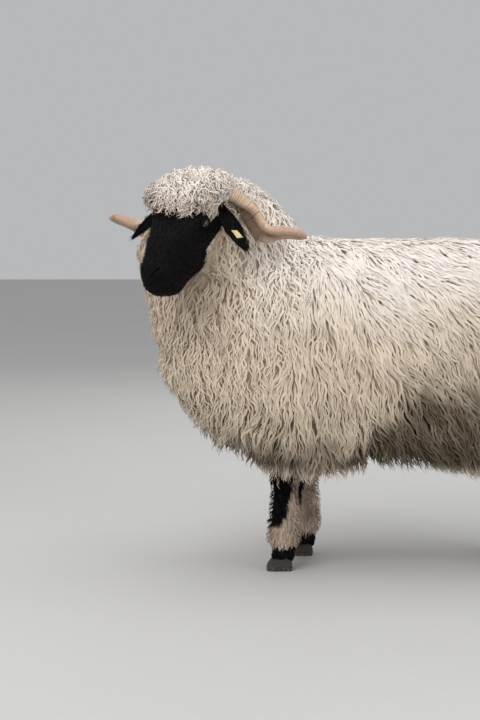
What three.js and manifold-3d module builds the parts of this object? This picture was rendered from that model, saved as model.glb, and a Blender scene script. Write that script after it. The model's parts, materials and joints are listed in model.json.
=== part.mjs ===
// A standing blacknose sheep at life size, as still solids parted where a person names its parts.
//
// Millimetres, +Z up, the floor at Z = 0. The sheep faces -X, its left side faces -Y, and its head is turned
// to its left. The origin is on the floor under the middle of the whole animal. Woolly parts are modelled out
// to the tips of the fleece, and short-haired ones out to the hair.
//
// Every rounded part is a sphere whose rings are carried onto the part's own outlines. Neighbours are cut by
// a slightly grown copy of each other, so that they meet with a thin gap and never overlap.

import * as THREE from "three";
import { mergeVertices } from "three/addons/utils/BufferGeometryUtils.js";
import Module from "manifold-3d";

// ---- Driving dimensions -------------------------------------------------------------------------------

const GAP = 0.35; // left between neighbouring parts
const BACK_HEIGHT = 843; // top of the fleece over the withers and loin
const BELLY_HEIGHT = 270; // hem of the fleece between the legs
const CHEST_X = -214; // foremost point of the fleece on the chest
const RUMP_X = 938; // rearmost point of the fleece on the rump
const BARREL_HALF = 252; // half the width of the fleece at mid-body
const MIDDLE = new THREE.Vector3(-324.1, 37.3, 0); // puts the origin under the middle of the whole animal

const FORE_X = 142; // mean place of the forefeet, the near one a little ahead
const HIND_X = 722; // mean place of the hind feet
const FORE_STEP = 30; // how far each forefoot is ahead of or behind that place
const HIND_STEP = -24;
const FORE_TRACK = 92; // half the distance between left and right feet
const HIND_TRACK = 104;

const HEAD_LENGTH = 298; // poll to the tip of the nose
const HEAD_POLL = new THREE.Vector3(-103, -134, 966); // top of the skull, between the horns
const HEAD_YAW = 58; // turned to its left, degrees
const HEAD_PITCH = 33; // nose carried down, degrees
const HEAD_ROLL = 1.5; // left side lower, degrees
const ORBIT_HALF = 85; // half the width of the head over the eyes
const MUZZLE_HALF = 43;
const EYE_RADIUS = 14;
const EAR_LENGTH = 142;
const EAR_HALF = 23;
const HORN_RADIUS = 26;
const HORN_TIP_RADIUS = 13.5;

const HOOF_LENGTH = 66;
const CLAW_HALF = 13;
const CLAW_SPREAD = 14.5; // from the middle of the foot to the middle of a claw
const TAIL_TOP = 748;
const TAIL_TIP = 372;

// ---- Solids from three.js geometry --------------------------------------------------------------------

const wasm = await Module();
wasm.setup();

/** A closed three.js geometry as a solid, turned to face outwards. */
function solidOf(geometry) {
  const bare = geometry.clone();
  bare.deleteAttribute("normal");
  bare.deleteAttribute("uv");
  const merged = mergeVertices(bare, 1e-3);
  const vertProperties = merged.attributes.position.array;
  const triVerts = new Uint32Array(merged.index.array);
  const made = new wasm.Manifold(new wasm.Mesh({ numProp: 3, vertProperties, triVerts }));
  if (made.volume() > 0) return made;
  for (let i = 0; i < triVerts.length; i += 3) {
    [triVerts[i + 1], triVerts[i + 2]] = [triVerts[i + 2], triVerts[i + 1]];
  }
  return new wasm.Manifold(new wasm.Mesh({ numProp: 3, vertProperties, triVerts }));
}

/** A solid as a three.js geometry, with flat faces. */
function geometryOf(solid) {
  const mesh = solid.getMesh();
  const geometry = new THREE.BufferGeometry();
  geometry.setAttribute("position", new THREE.BufferAttribute(mesh.vertProperties.slice(), 3));
  geometry.setIndex(new THREE.BufferAttribute(mesh.triVerts.slice(), 1));
  return geometry;
}

/** The largest piece of a solid, without the slivers that a cut leaves. */
const largest = (solid) => solid.decompose().sort((a, b) => b.volume() - a.volume())[0];

/** A solid less others, in one piece. */
function cutBy(solid, ...tools) {
  const left = largest(tools.reduce((rest, tool) => rest.subtract(tool), solid));
  return largest(solidOf(geometryOf(left)));
}

/** A solid moved by a Matrix4. */
const moved = (solid, matrix) => solid.transform(matrix.elements);

/** A sphere whose point at share v from pole to pole, and angle a round the axis, goes to place(v, a). */
function carried(sides, rings, place) {
  const ball = new THREE.SphereGeometry(1, sides, rings);
  const { position, uv } = ball.attributes;
  for (let i = 0; i < position.count; i++) {
    position.setXYZ(i, ...place(1 - uv.getY(i), 2 * Math.PI * uv.getX(i)));
  }
  return solidOf(ball);
}

/** Smooth interpolation of rows of numbers by their first column. */
function smooth(rows) {
  const size = rows[0].length - 1;
  const at = new THREE.CubicInterpolant(
    rows.map((row) => row[0]),
    rows.flatMap((row) => row.slice(1)),
    size,
    new Float64Array(size),
  );
  return (s) => at.evaluate(THREE.MathUtils.clamp(s, rows[0][0], rows.at(-1)[0]));
}

/** A number's power that keeps its sign, which squares a circle's corners. */
const signedPower = (x, e) => Math.sign(x) * Math.abs(x) ** e;

/** How far a point at share v between the poles is grown: all the way, except at the poles themselves. */
const growth = (grow, v) => grow * Math.min(1, 20 * Math.sin(Math.PI * v));

/**
 * A round-ended body along +X. Each row is [x, top z, bottom z, upper half-width, lower half-width, middle
 * y]. corners, hem (the lower corners) and ends are exponents: 1 is round, less is squarer. bump moves each
 * point by a rule of its own.
 */
function body({ rows, sides, rings, corners = 1, hem = corners, ends = 0.7, bump = (p) => p }, grow = 0) {
  const at = smooth(rows);
  const first = rows[0][0] - grow;
  const last = rows.at(-1)[0] + grow;
  return carried(sides, rings, (v, a) => {
    const x = first + ((last - first) * (1 - signedPower(Math.cos(Math.PI * v), ends))) / 2;
    const full = Math.abs(Math.sin(Math.PI * v)) ** ends;
    const [top, bottom, upper, lower, side] = at(x);
    const rise = ((top - bottom) / 2) * full + growth(grow, v);
    const half = THREE.MathUtils.lerp(lower, upper, (1 + Math.sin(a)) / 2) * full + growth(grow, v);
    const square = Math.sin(a) < 0 ? hem : corners;
    const y = side + half * signedPower(Math.cos(a), square);
    const z = (top + bottom) / 2 + rise * signedPower(Math.sin(a), square);
    return bump(new THREE.Vector3(x, y, z));
  });
}

/** A swelling at a centre: every point is pushed, less and less with its distance. */
function swell(p, centre, reach, push) {
  const near = Math.exp(-p.distanceToSquared(centre) / reach ** 2);
  return p.addScaledVector(push, near);
}

// Bodies are built along +X. This stands one up, so that +X becomes +Z, top is rearwards and +Y stays.
const UPRIGHT = new THREE.Matrix4().makeBasis(
  new THREE.Vector3(0, 0, 1),
  new THREE.Vector3(0, 1, 0),
  new THREE.Vector3(1, 0, 0),
);

// ---- Trunk, neck and tail -----------------------------------------------------------------------------

/** Broad waves in the fleece, where hanging wool gathers. */
function fleeceWaves(p) {
  const hang = THREE.MathUtils.smoothstep(-p.z, -BACK_HEIGHT + 60, -BELLY_HEIGHT - 120);
  const wave = Math.sin(p.x / 31) + 0.6 * Math.sin(p.x / 17 + p.z / 60);
  p.y += Math.tanh(p.y / 40) * 5 * hang * wave;
  p.z += 5 * Math.sin(p.x / 27 + 0.8) * hang;
  return p;
}

/** The barrel of the body in its fleece, from the chest to the rump. */
function trunk(grow) {
  const rows = [
    [CHEST_X, 640, 424, 120, 110, 0],
    [-150, 735, 362, 170, 168, 0],
    [-80, 800, 316, 205, 208, 0],
    [20, 835, 272, 224, 236, 0],
    [120, BACK_HEIGHT, 232, 232, 246, 0],
    [200, BACK_HEIGHT, 228, 232, 250, 0],
    [320, BACK_HEIGHT - 3, BELLY_HEIGHT, 236, BARREL_HALF, 0],
    [480, BACK_HEIGHT - 4, BELLY_HEIGHT - 24, 240, BARREL_HALF + 4, 0],
    [620, BACK_HEIGHT, BELLY_HEIGHT - 34, 240, BARREL_HALF + 2, 0],
    [740, BACK_HEIGHT - 4, 228, 232, 250, 0],
    [840, 832, 236, 214, 238, 0],
    [900, 808, 262, 186, 212, 0],
    [RUMP_X, 770, 300, 150, 176, 0],
  ];
  return body({ rows, sides: 28, rings: 22, corners: 0.8, hem: 0.5, ends: 0.55, bump: fleeceWaves }, grow);
}

/** The neck and mane, rising from the shoulders to the back of the head. Its rows go up in Z. */
function neck(grow) {
  const rows = [
    [400, 120, -120, 150, 130, 0],
    [480, 180, -186, 180, 165, 0],
    [560, 205, -222, 190, 172, 4],
    [640, 222, -240, 186, 168, 8],
    [720, 222, -260, 178, 160, 10],
    [790, 204, -268, 168, 150, 4],
    [850, 168, -256, 158, 140, -10],
    [905, 128, -226, 148, 130, -26],
    [950, 100, -198, 136, 118, -42],
    [985, 76, -170, 120, 100, -52],
  ];
  return moved(body({ rows, sides: 20, rings: 11, corners: 0.85, ends: 0.5 }, grow), UPRIGHT);
}

/** The woolly tail, hanging against the rump. Its rows go up in Z. */
function tail(grow) {
  const rows = [
    [TAIL_TIP, 962, 930, 30, 28, 0],
    [430, 980, 912, 46, 44, 0],
    [540, 986, 900, 52, 50, 0],
    [650, 982, 890, 52, 50, 0],
    [TAIL_TOP, 948, 860, 46, 46, 0],
  ];
  return moved(body({ rows, sides: 10, rings: 8, ends: 0.6 }, grow), UPRIGHT);
}

// ---- Legs ---------------------------------------------------------------------------------------------

// Rows go up in Z and are measured from the middle of the foot: [z, back x, front x, half-width to the left,
// half-width to the right, 0].
const FORELEG_ROWS = [
  [52, 46, -48, 42, 42, 0],
  [74, 53, -56, 48, 48, 0],
  [110, 46, -47, 41, 41, 0],
  [160, 39, -38, 35, 35, 0],
  [215, 38, -38, 36, 36, 0],
  [270, 46, -44, 42, 42, 0],
  [350, 62, -56, 52, 52, 0],
];
const HINDLEG_ROWS = [
  [52, 46, -45, 42, 42, 0],
  [74, 54, -53, 47, 47, 0],
  [112, 48, -42, 40, 40, 0],
  [170, 50, -28, 34, 34, 0],
  [225, 68, -20, 36, 36, 0],
  [268, 84, -22, 42, 42, 0],
  [350, 96, -50, 56, 56, 0],
];
const FOOT_ROWS = [
  [18, 30, -34, 28, 28, 0],
  [36, 32, -38, 30, 30, 0],
  [62, 31, -31, 29, 29, 0],
  [84, 28, -28, 27, 27, 0],
];

const leg = (rows, grow) =>
  moved(body({ rows, sides: 12, rings: 10, ends: 0.45 }, grow), UPRIGHT);
const foot = (grow) =>
  moved(body({ rows: FOOT_ROWS, sides: 8, rings: 5, ends: 0.45 }, grow), UPRIGHT);

/** One claw of a hoof, toe towards -X, its sole flat on the floor. side is -1 for the left claw. */
function claw(side, grow) {
  const toe = -12 - HOOF_LENGTH / 2;
  const rows = [
    [toe, 15, -8, CLAW_HALF - 4, CLAW_HALF - 2, 0],
    [toe + 16, 32, -8, CLAW_HALF - 1, CLAW_HALF, 0],
    [toe + 36, 40, -8, CLAW_HALF, CLAW_HALF, 0],
    [toe + HOOF_LENGTH, 30, -8, CLAW_HALF - 2, CLAW_HALF - 1, 0],
  ];
  const whole = body({ rows, sides: 8, rings: 5, corners: 0.75, ends: 0.5 }, grow);
  return whole.trimByPlane([0, 0, 1], 0).translate([0, side * CLAW_SPREAD, 0]);
}

// ---- Head, in its own frame: origin at the poll, +X to the nose, +Y to its left, +Z out of the forehead ---

/** Vector with its y turned to one side of the head. */
const sided = (x, y, z, side) => new THREE.Vector3(x, side * y, z);

/** The swellings and hollows that turn the loft of the head into a face. */
function faceForms(p) {
  for (const side of [-1, 1]) {
    swell(p, sided(98, ORBIT_HALF, -8, side), 26, sided(2, 6, 5, side)); // brow over the eye
    swell(p, sided(112, 76, -33, side), 16, sided(0, -7, 0, side)); // eye socket
    swell(p, sided(72, 62, -96, side), 40, sided(0, 6, -2, side)); // cheek muscle
    swell(p, sided(180, 52, -56, side), 34, sided(0, -6, 0, side)); // hollow before the cheek
    swell(p, sided(268, 30, -62, side), 15, sided(1, 5, 2, side)); // wing of the nostril
    swell(p, sided(285, 17, -74, side), 9, sided(-6, 0, 1, side)); // nostril
  }
  swell(p, new THREE.Vector3(200, 0, -4), 52, new THREE.Vector3(0, 0, 6)); // arched nose
  swell(p, new THREE.Vector3(HEAD_LENGTH, 0, -104), 12, new THREE.Vector3(-4, 0, 0)); // mouth
  return p;
}

/** Skull and face, without the wool on top. Each ring is widest part-way down, at the orbits or the lips. */
function head(grow) {
  const at = smooth([
    // x, top z, widest z, bottom z, half-width, and how pinched the ring is above and below its widest
    [-40, -28, -60, -124, 58, 0.9, 0.9],
    [0, -2, -45, -152, 66, 0.8, 0.95],
    [50, 6, -30, -170, 76, 0.72, 1.05],
    [100, 7, -22, -174, ORBIT_HALF, 0.65, 1.15],
    [150, 3, -42, -166, 65, 0.72, 1.1],
    [195, -4, -64, -156, 54, 0.8, 1],
    [238, -14, -80, -147, MUZZLE_HALF + 3, 0.85, 0.8],
    [268, -29, -88, -140, MUZZLE_HALF, 0.9, 0.75],
    [HEAD_LENGTH, -46, -90, -127, MUZZLE_HALF - 9, 0.9, 0.8],
  ]);
  const [first, last] = [-40 - grow, HEAD_LENGTH + grow];
  return carried(22, 20, (v, a) => {
    const x = first + ((last - first) * (1 - signedPower(Math.cos(Math.PI * v), 0.42))) / 2;
    const full = Math.abs(Math.sin(Math.PI * v)) ** 0.42;
    const [top, widest, bottom, half, above, below] = at(x);
    const up = Math.sin(a) > 0;
    const y = (half * full + growth(grow, v)) * signedPower(Math.cos(a), up ? above : below);
    const reach = (up ? top - widest : widest - bottom) * full + growth(grow, v);
    const middle = THREE.MathUtils.lerp((top + bottom) / 2, widest, full);
    return faceForms(new THREE.Vector3(x, y, middle + reach * Math.sin(a)));
  });
}

/** The space below the line of the mouth, back to the angle of the jaw. */
function jawSpace(grow) {
  const side = new THREE.Shape();
  side.moveTo(HEAD_LENGTH + 20, -107 + grow);
  side.lineTo(218, -103 + grow);
  side.lineTo(60 - grow, -122 + grow);
  side.lineTo(30 - grow, -220);
  side.lineTo(HEAD_LENGTH + 20, -220);
  const slab = new THREE.ExtrudeGeometry(side, { depth: 240, bevelEnabled: false });
  slab.rotateX(Math.PI / 2);
  slab.translate(0, 120, 0);
  return solidOf(slab);
}

/** The ball of an eye. */
function eye(side, grow) {
  const ball = new THREE.SphereGeometry(EYE_RADIUS + grow, 10, 7);
  ball.translate(...sided(110, 65, -31, side));
  return solidOf(ball);
}

/** The cap of curls over the forehead and poll. */
function forelock(grow) {
  const rows = [
    [-86, -10, -96, 84, 80, -8],
    [-50, 26, -92, 100, 94, -8],
    [0, 46, -70, 106, 98, -8],
    [46, 56, -44, 108, 94, -8],
    [92, 54, -26, 102, 86, -10],
    [128, 36, -16, 82, 66, -8],
    [150, 20, -8, 52, 44, -4],
  ];
  return body({ rows, sides: 18, rings: 9, corners: 0.9, ends: 0.6, bump: curlLumps }, grow);
}

/** Lumps the size of a gathered curl. */
function curlLumps(p) {
  const lump = Math.sin(p.x / 13) * Math.sin(p.y / 15) + 0.7 * Math.sin(p.x / 9 + p.y / 11);
  return p.addScaledVector(p.clone().setX(p.x * 0.3).normalize(), 4 * lump);
}

/** A hanging ear: a cupped leaf along a line from the side of the head. */
function ear(side, grow) {
  const along = side > 0 ? sided(60, 92, -102, 1) : sided(76, 108, -68, -1); // the right is held forward
  along.normalize();
  const out = sided(0.6, 0.5, 0.6, side);
  const across = new THREE.Vector3().crossVectors(out, along).normalize();
  out.crossVectors(along, across).normalize();
  const root = sided(34, 66, -28, side);
  const width = smooth([
    [0, 13], [0.2, 20], [0.5, EAR_HALF], [0.75, EAR_HALF - 4], [1, 12],
  ]);
  return carried(10, 10, (v, a) => {
    const s = (1 - signedPower(Math.cos(Math.PI * v), 0.8)) / 2;
    const full = Math.abs(Math.sin(Math.PI * v)) ** 0.7;
    const u = (width(s)[0] * full + growth(grow, v)) * Math.cos(a);
    const cup = 7 * (Math.cos(a) * full) ** 2 + 9 * (s - 0.5) ** 2;
    const n = (4.2 * full + growth(grow, v)) * Math.sin(a) + cup;
    return root
      .clone()
      .addScaledVector(along, s * EAR_LENGTH + (s - 0.5) * 2 * grow)
      .addScaledVector(across, u)
      .addScaledVector(out, n);
  });
}

/** An open corkscrew horn: back and down behind the ear, then out to the side. */
function horn(side, grow) {
  const lift = side > 0 ? 0 : 34; // the right tip is carried higher
  const line = new THREE.CatmullRomCurve3([
    sided(30, 14, -14, side),
    sided(14, 40, 0, side),
    sided(-5, 67, -18, side),
    sided(-18, 94, -57, side),
    sided(-14, 120, -92, side),
    sided(6, 144, -112, side),
    sided(26, 172, -114, side),
    sided(30, 204, -109 + 0.1 * lift, side),
    sided(28, 242, -108 + 0.5 * lift, side),
    sided(24, 284, -118 + lift, side),
  ]);
  const rings = 19;
  const frames = 120;
  const { tangents, normals, binormals } = line.computeFrenetFrames(frames);
  return carried(9, rings, (v, a) => {
    const s = (1 - signedPower(Math.cos(Math.PI * v), 0.9)) / 2;
    const i = Math.round(s * frames);
    const taper = THREE.MathUtils.lerp(HORN_RADIUS, HORN_TIP_RADIUS, s ** 1.3);
    const keel = 1 + 0.12 * Math.cos(3 * a) + 0.03 * (Math.round(v * rings) % 2);
    const full = Math.min(1, Math.abs(Math.sin(Math.PI * v)) * 2) ** 0.7;
    const r = taper * keel * full + growth(grow, v);
    return line
      .getPointAt(s)
      .addScaledVector(tangents[i], (s - 0.5) * 2 * grow)
      .addScaledVector(normals[i], r * Math.cos(a))
      .addScaledVector(binormals[i], r * Math.sin(a));
  });
}

/** The tag in the left ear: a plate on a stud that goes through the ear. */
function earTag(grow) {
  const plate = new THREE.Shape();
  plate.moveTo(-11 - grow, 13 + grow);
  plate.lineTo(2 + grow, 9 + grow);
  plate.lineTo(11 + grow, -13 - grow);
  plate.lineTo(-5 - grow, -9 - grow);
  const slab = new THREE.ExtrudeGeometry(plate, { depth: 2 + 2 * grow, bevelEnabled: false });
  slab.translate(0, 0, -grow);
  const stud = new THREE.CylinderGeometry(3 + grow, 3 + grow, 16 + 2 * grow, 12);
  stud.rotateX(Math.PI / 2);
  stud.translate(0, 0, -6);
  const placed = new THREE.Matrix4().makeBasis(
    sided(-0.62, 0.78, -0.04, 1).normalize(),
    sided(-0.45, -0.4, 0.8, 1).normalize(),
    sided(0.6, 0.5, 0.6, 1).normalize(),
  );
  placed.setPosition(sided(72, 124, -86, 1));
  return moved(solidOf(slab).add(solidOf(stud)), placed);
}

// ---- Assembly -----------------------------------------------------------------------------------------

const COLOURS = {
  fleece: { color: 0xd9cdbb, roughness: 0.95 },
  blackHair: { color: 0x17161a, roughness: 0.8 },
  horn: { color: 0xc79f7c, roughness: 0.6 },
  hoof: { color: 0x2b2622, roughness: 0.55 },
  eye: { color: 0x2a1c10, roughness: 0.1 },
  tag: { color: 0xe2d46a, roughness: 0.45 },
};

/** A named mesh of one solid. */
function part(name, solid, finish) {
  const material = new THREE.MeshStandardMaterial({ ...COLOURS[finish], metalness: 0, flatShading: true });
  const mesh = new THREE.Mesh(geometryOf(solid), material);
  mesh.name = name;
  return mesh;
}

const sheep = new THREE.Group();
sheep.position.copy(MIDDLE);

const headGroup = new THREE.Group();
headGroup.position.copy(HEAD_POLL);
const facing = new THREE.Matrix4().makeBasis(
  new THREE.Vector3(-1, 0, 0), // towards the nose, before it is turned
  new THREE.Vector3(0, -1, 0), // towards its left
  new THREE.Vector3(0, 0, 1),
);
const degrees = THREE.MathUtils.degToRad;
headGroup.quaternion
  .setFromAxisAngle(new THREE.Vector3(0, 0, 1), degrees(HEAD_YAW))
  .multiply(new THREE.Quaternion().setFromRotationMatrix(facing))
  .multiply(new THREE.Quaternion().setFromAxisAngle(new THREE.Vector3(0, 1, 0), degrees(HEAD_PITCH)))
  .multiply(new THREE.Quaternion().setFromAxisAngle(new THREE.Vector3(1, 0, 0), degrees(-HEAD_ROLL)));
headGroup.updateMatrix();
sheep.add(headGroup);

const BOTH = [["left", 1], ["right", -1]];
const grownHorns = BOTH.map(([, side]) => horn(side, GAP));
const grownEars = BOTH.map(([, side]) => ear(side, GAP));
const grownEyes = BOTH.map(([, side]) => eye(side, GAP));
const inBody = (solid) => moved(solid, headGroup.matrix);

// Head group: every piece is cut in the head's own frame.
const skull = cutBy(head(0), jawSpace(GAP), ...grownEyes);
const jaw = head(0).intersect(jawSpace(0));
const cap = cutBy(forelock(0), head(GAP), ...grownHorns, ...grownEars, earTag(GAP));
headGroup.add(part("head", skull, "blackHair"));
headGroup.add(part("lower_jaw", jaw, "blackHair"));
headGroup.add(part("forelock", cap, "fleece"));
headGroup.add(part("ear_tag", earTag(0), "tag"));
for (const [name, side] of BOTH) {
  headGroup.add(part(`eye_${name}`, eye(side, 0), "eye"));
  headGroup.add(part(`horn_${name}`, cutBy(horn(side, 0), head(GAP)), "horn"));
  headGroup.add(part(`ear_${name}`, cutBy(ear(side, 0), head(GAP), earTag(GAP), ...grownHorns), "blackHair"));
}

// Trunk group.
const headTools = [head(GAP), forelock(GAP), earTag(GAP), ...grownHorns, ...grownEars].map(inBody);
sheep.add(part("trunk", cutBy(trunk(0), ...headTools), "fleece"));
sheep.add(part("neck", cutBy(neck(0), trunk(GAP), ...headTools), "fleece"));
sheep.add(part("tail", cutBy(tail(0), trunk(GAP)), "fleece"));

// Legs, each with its foot and two claws.
const grownTrunk = trunk(GAP);
for (const [end, rows, middle, step, track] of [
  ["fore", FORELEG_ROWS, FORE_X, FORE_STEP, FORE_TRACK],
  ["hind", HINDLEG_ROWS, HIND_X, HIND_STEP, HIND_TRACK],
]) {
  for (const [name, side] of BOTH) {
    const at = new THREE.Matrix4().makeTranslation(middle - side * step, -side * track, 0);
    const claws = [["outer", -side], ["inner", side]];
    const grownClaws = claws.map(([, where]) => claw(where, GAP));
    const limb = cutBy(moved(leg(rows, 0), at), grownTrunk, moved(foot(GAP), at));
    sheep.add(part(`${end}leg_${name}`, limb, "fleece"));
    sheep.add(part(`${end}foot_${name}`, moved(cutBy(foot(0), ...grownClaws), at), "blackHair"));
    for (const [which, where] of claws) {
      sheep.add(part(`${end}claw_${name}_${which}`, moved(claw(where, 0), at), "hoof"));
    }
  }
}

export default sheep;
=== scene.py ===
"""Looks of a life-size blacknose sheep: one skin, a coat of locks, horns, eyes, claws and an ear tag.

Metres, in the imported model's frame: the floor at Z = 0, the sheep facing -X with its left side to -Y. Features
of the head are given in millimetres in its own axes, which HeadAxes turns into the frame.
"""

import json
import logging
import math
from dataclasses import dataclass, field
from enum import Enum
from typing import Iterable, Sequence

import bmesh
import bpy
import numpy as np
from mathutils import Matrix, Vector
from mathutils.bvhtree import BVHTree
from mathutils.kdtree import KDTree

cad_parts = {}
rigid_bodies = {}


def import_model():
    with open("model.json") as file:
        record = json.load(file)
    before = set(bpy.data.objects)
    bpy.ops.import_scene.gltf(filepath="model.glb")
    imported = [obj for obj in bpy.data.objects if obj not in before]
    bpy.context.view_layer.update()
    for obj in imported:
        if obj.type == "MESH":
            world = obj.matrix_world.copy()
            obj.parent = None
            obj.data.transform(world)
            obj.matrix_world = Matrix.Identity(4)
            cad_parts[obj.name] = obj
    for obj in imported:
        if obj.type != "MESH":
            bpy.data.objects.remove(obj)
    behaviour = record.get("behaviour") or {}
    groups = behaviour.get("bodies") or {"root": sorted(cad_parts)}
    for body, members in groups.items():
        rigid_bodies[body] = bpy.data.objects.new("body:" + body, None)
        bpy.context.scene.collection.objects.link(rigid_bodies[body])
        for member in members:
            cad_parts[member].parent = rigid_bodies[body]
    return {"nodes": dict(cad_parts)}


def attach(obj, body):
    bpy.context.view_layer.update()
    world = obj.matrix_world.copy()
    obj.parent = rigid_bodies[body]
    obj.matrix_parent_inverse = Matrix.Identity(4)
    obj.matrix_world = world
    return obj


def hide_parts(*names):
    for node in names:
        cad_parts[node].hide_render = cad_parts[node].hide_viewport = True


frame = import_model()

Array = np.ndarray
Colour = tuple[float, float, float]
log = logging.getLogger("sheep")

MM = 0.001
TURN = 2 * math.pi
SAME_PLACE = 1e-5  # points closer than this are merged
FAR_OFF = 1e9
MIDLINE = 0.0373  # y of the body's plane of symmetry
LEG_TOP = 0.262  # height at which the wool of the legs begins
HEAD_HALF = 112  # half the width of the woolly head, in millimetres
GRID_PRIMES = (73856093, 19349663, 83492791)
SIDES = (("left", 1), ("right", -1))
FLESH = ["head", "lower_jaw", "trunk", "neck", "tail", "ear_left", "ear_right"] + [
    f"{end}{part}_{side}" for end in ("fore", "hind") for part in ("leg", "foot") for side in ("left", "right")
]
SOLIDS = [n for n in FLESH if not n.startswith(("ear", "neck"))]  # neck and forelock are added as their hulls
HULLS = ["neck", "forelock"]


# ---- Small helpers on arrays ----


def unit(vectors: Array) -> Array:
    """Vectors scaled to length one."""
    return vectors / np.maximum(np.linalg.norm(vectors, axis=-1, keepdims=True), 1e-12)


def dot(a: Array, b: Array) -> Array:
    """Row by row products of two arrays of vectors, kept as a column."""
    return (a * b).sum(-1, keepdims=True)


def ease(x: Array, low: float, high: float) -> Array:
    """A smooth step from 0 at low to 1 at high; low may be the larger."""
    t = np.clip((x - low) / (high - low), 0.0, 1.0)
    return t * t * (3 - 2 * t)


def ripple(points: Array, size: float, seed: int = 0) -> Array:
    """Soft, seeded noise from -1 to 1 over points in space, with lumps about size across.

    Args:
        points: Points, one a row.
        size: Width of a lump, in metres.
        seed: Which of many patterns.

    Returns:
        One number for each point.
    """
    rng = np.random.default_rng(seed)
    total = np.zeros(len(points))
    for _ in range(7):
        wave = unit(rng.normal(size=3)) * (math.pi / size) * rng.uniform(0.6, 1.5)
        total += np.sin(points @ wave + rng.uniform(0, TURN))
    return np.clip(total / 3.2, -1, 1)


def swirl(points: Array) -> Array:
    """A direction that turns slowly from place to place, for locks that lean together."""
    return np.stack([ripple(points, 0.055, 60 + k) + 0.6 * ripple(points, 0.024, 70 + k) for k in range(3)], 1)


def on_neck(places: Array) -> Array:
    """Tells which places of the skin belong to the neck and chest."""
    x, z = places[:, 0], places[:, 2]
    return (x < -0.20 + 0.35 * (z - 0.62)) & (z > 0.46)


def way_round(a: Array, b: Array) -> Array:
    """The direction of (b, a) as a share of a full turn, from 0 to 1."""
    return (np.arctan2(a, b) / TURN) % 1.0


def first_in_cells(places: Array, size: float) -> Array:
    """The number of the first place in each filled cell of a cubic grid, in an order that never changes."""
    cell = np.floor(places / size).astype(np.int64)
    key = cell[:, 0] * GRID_PRIMES[0] ^ cell[:, 1] * GRID_PRIMES[1] ^ cell[:, 2] * GRID_PRIMES[2]
    return np.unique(key, return_index=True)[1]


# ---- The head's own axes ----


@dataclass(frozen=True)
class HeadAxes:
    """The head's axes: origin at the poll, x to the nose, y to its left, z out of the forehead."""

    poll: tuple[float, float, float] = (-0.4271, -0.0967, 0.966)
    yaw: float = 58.0
    pitch: float = 33.0
    roll: float = 1.5

    def rows(self) -> Array:
        """The three axes as rows, in the frame."""
        yaw, pitch, roll = (math.radians(a) for a in (self.yaw, self.pitch, self.roll))
        nose = np.array([-math.cos(yaw) * math.cos(pitch), -math.sin(yaw) * math.cos(pitch), -math.sin(pitch)])
        level = np.array([math.sin(yaw), -math.cos(yaw), 0.0])
        left = level * math.cos(roll) - np.cross(nose, level) * math.sin(roll)
        return np.stack([nose, left, np.cross(nose, left)])

    def local(self, points: Array) -> Array:
        """Points of the frame in the head's axes, in millimetres."""
        return (points - np.array(self.poll)) @ self.rows().T / MM

    def place(self, points: Array) -> Array:
        """Points in the head's axes, in millimetres, brought into the frame."""
        return np.asarray(points, float) @ self.rows() * MM + np.array(self.poll)

    def turn(self, vectors: Array) -> Array:
        """Directions in the head's axes brought into the frame."""
        return np.asarray(vectors, float) @ self.rows()


HEAD = HeadAxes()


# ---- Meshes ----


def new_object(name: str, mesh: bpy.types.Mesh) -> bpy.types.Object:
    """A mesh as an object of the scene, at the origin."""
    piece = bpy.data.objects.new(name, mesh)
    bpy.context.scene.collection.objects.link(piece)
    return piece


def ended(made: bmesh.types.BMesh, name: str) -> bpy.types.Object:
    """Ends a bmesh and makes an object of it."""
    mesh = bpy.data.meshes.new(name)
    made.to_mesh(mesh)
    made.free()
    return new_object(name, mesh)


def shade_smooth(piece: bpy.types.Object) -> None:
    """Shades an object without facets."""
    piece.data.polygons.foreach_set("use_smooth", np.ones(len(piece.data.polygons), bool))


def shaped(made: bmesh.types.BMesh, points: Iterable[Array], name: str) -> bpy.types.Object:
    """Moves a bmesh's points, turns its faces outwards and makes a smooth object of it."""
    for vertex, point in zip(made.verts, points):
        vertex.co = point
    bmesh.ops.recalc_face_normals(made, faces=made.faces)
    piece = ended(made, name)
    shade_smooth(piece)
    return piece


def renamed(piece: bpy.types.Object, name: str) -> bpy.types.Object:
    """Gives an object and its mesh one name."""
    piece.name = piece.data.name = name
    return piece


def merged(nodes: Iterable[str]) -> bmesh.types.BMesh:
    """Copies of CAD nodes in one bmesh, their loose triangles merged."""
    made = bmesh.new()
    for node in nodes:
        made.from_mesh(frame["nodes"][node].data)
    bmesh.ops.remove_doubles(made, verts=made.verts, dist=SAME_PLACE)
    return made


def hull_of(node: str) -> bpy.types.Object:
    """The convex hull of a CAD node, which fills the channels that its neighbours cut into it."""
    made = merged([node])
    hull = bmesh.ops.convex_hull(made, input=made.verts)
    inner = {e for e in hull["geom_interior"] + hull["geom_unused"] if isinstance(e, bmesh.types.BMVert)}
    bmesh.ops.delete(made, geom=list(inner), context="VERTS")
    shell = {e for e in hull["geom"] if isinstance(e, bmesh.types.BMFace)}
    bmesh.ops.delete(made, geom=[f for f in made.faces if f not in shell], context="FACES_ONLY")
    return ended(made, f"{node}_hull")


def fused(pieces: Sequence[bpy.types.Object]) -> bpy.types.Object:
    """Puts several objects' meshes into the first one's, and removes the rest."""
    made = bmesh.new()
    for piece in pieces:
        made.from_mesh(piece.data)
    made.to_mesh(pieces[0].data)
    made.free()
    for piece in pieces[1:]:
        bpy.data.objects.remove(piece)
    return pieces[0]


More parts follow.
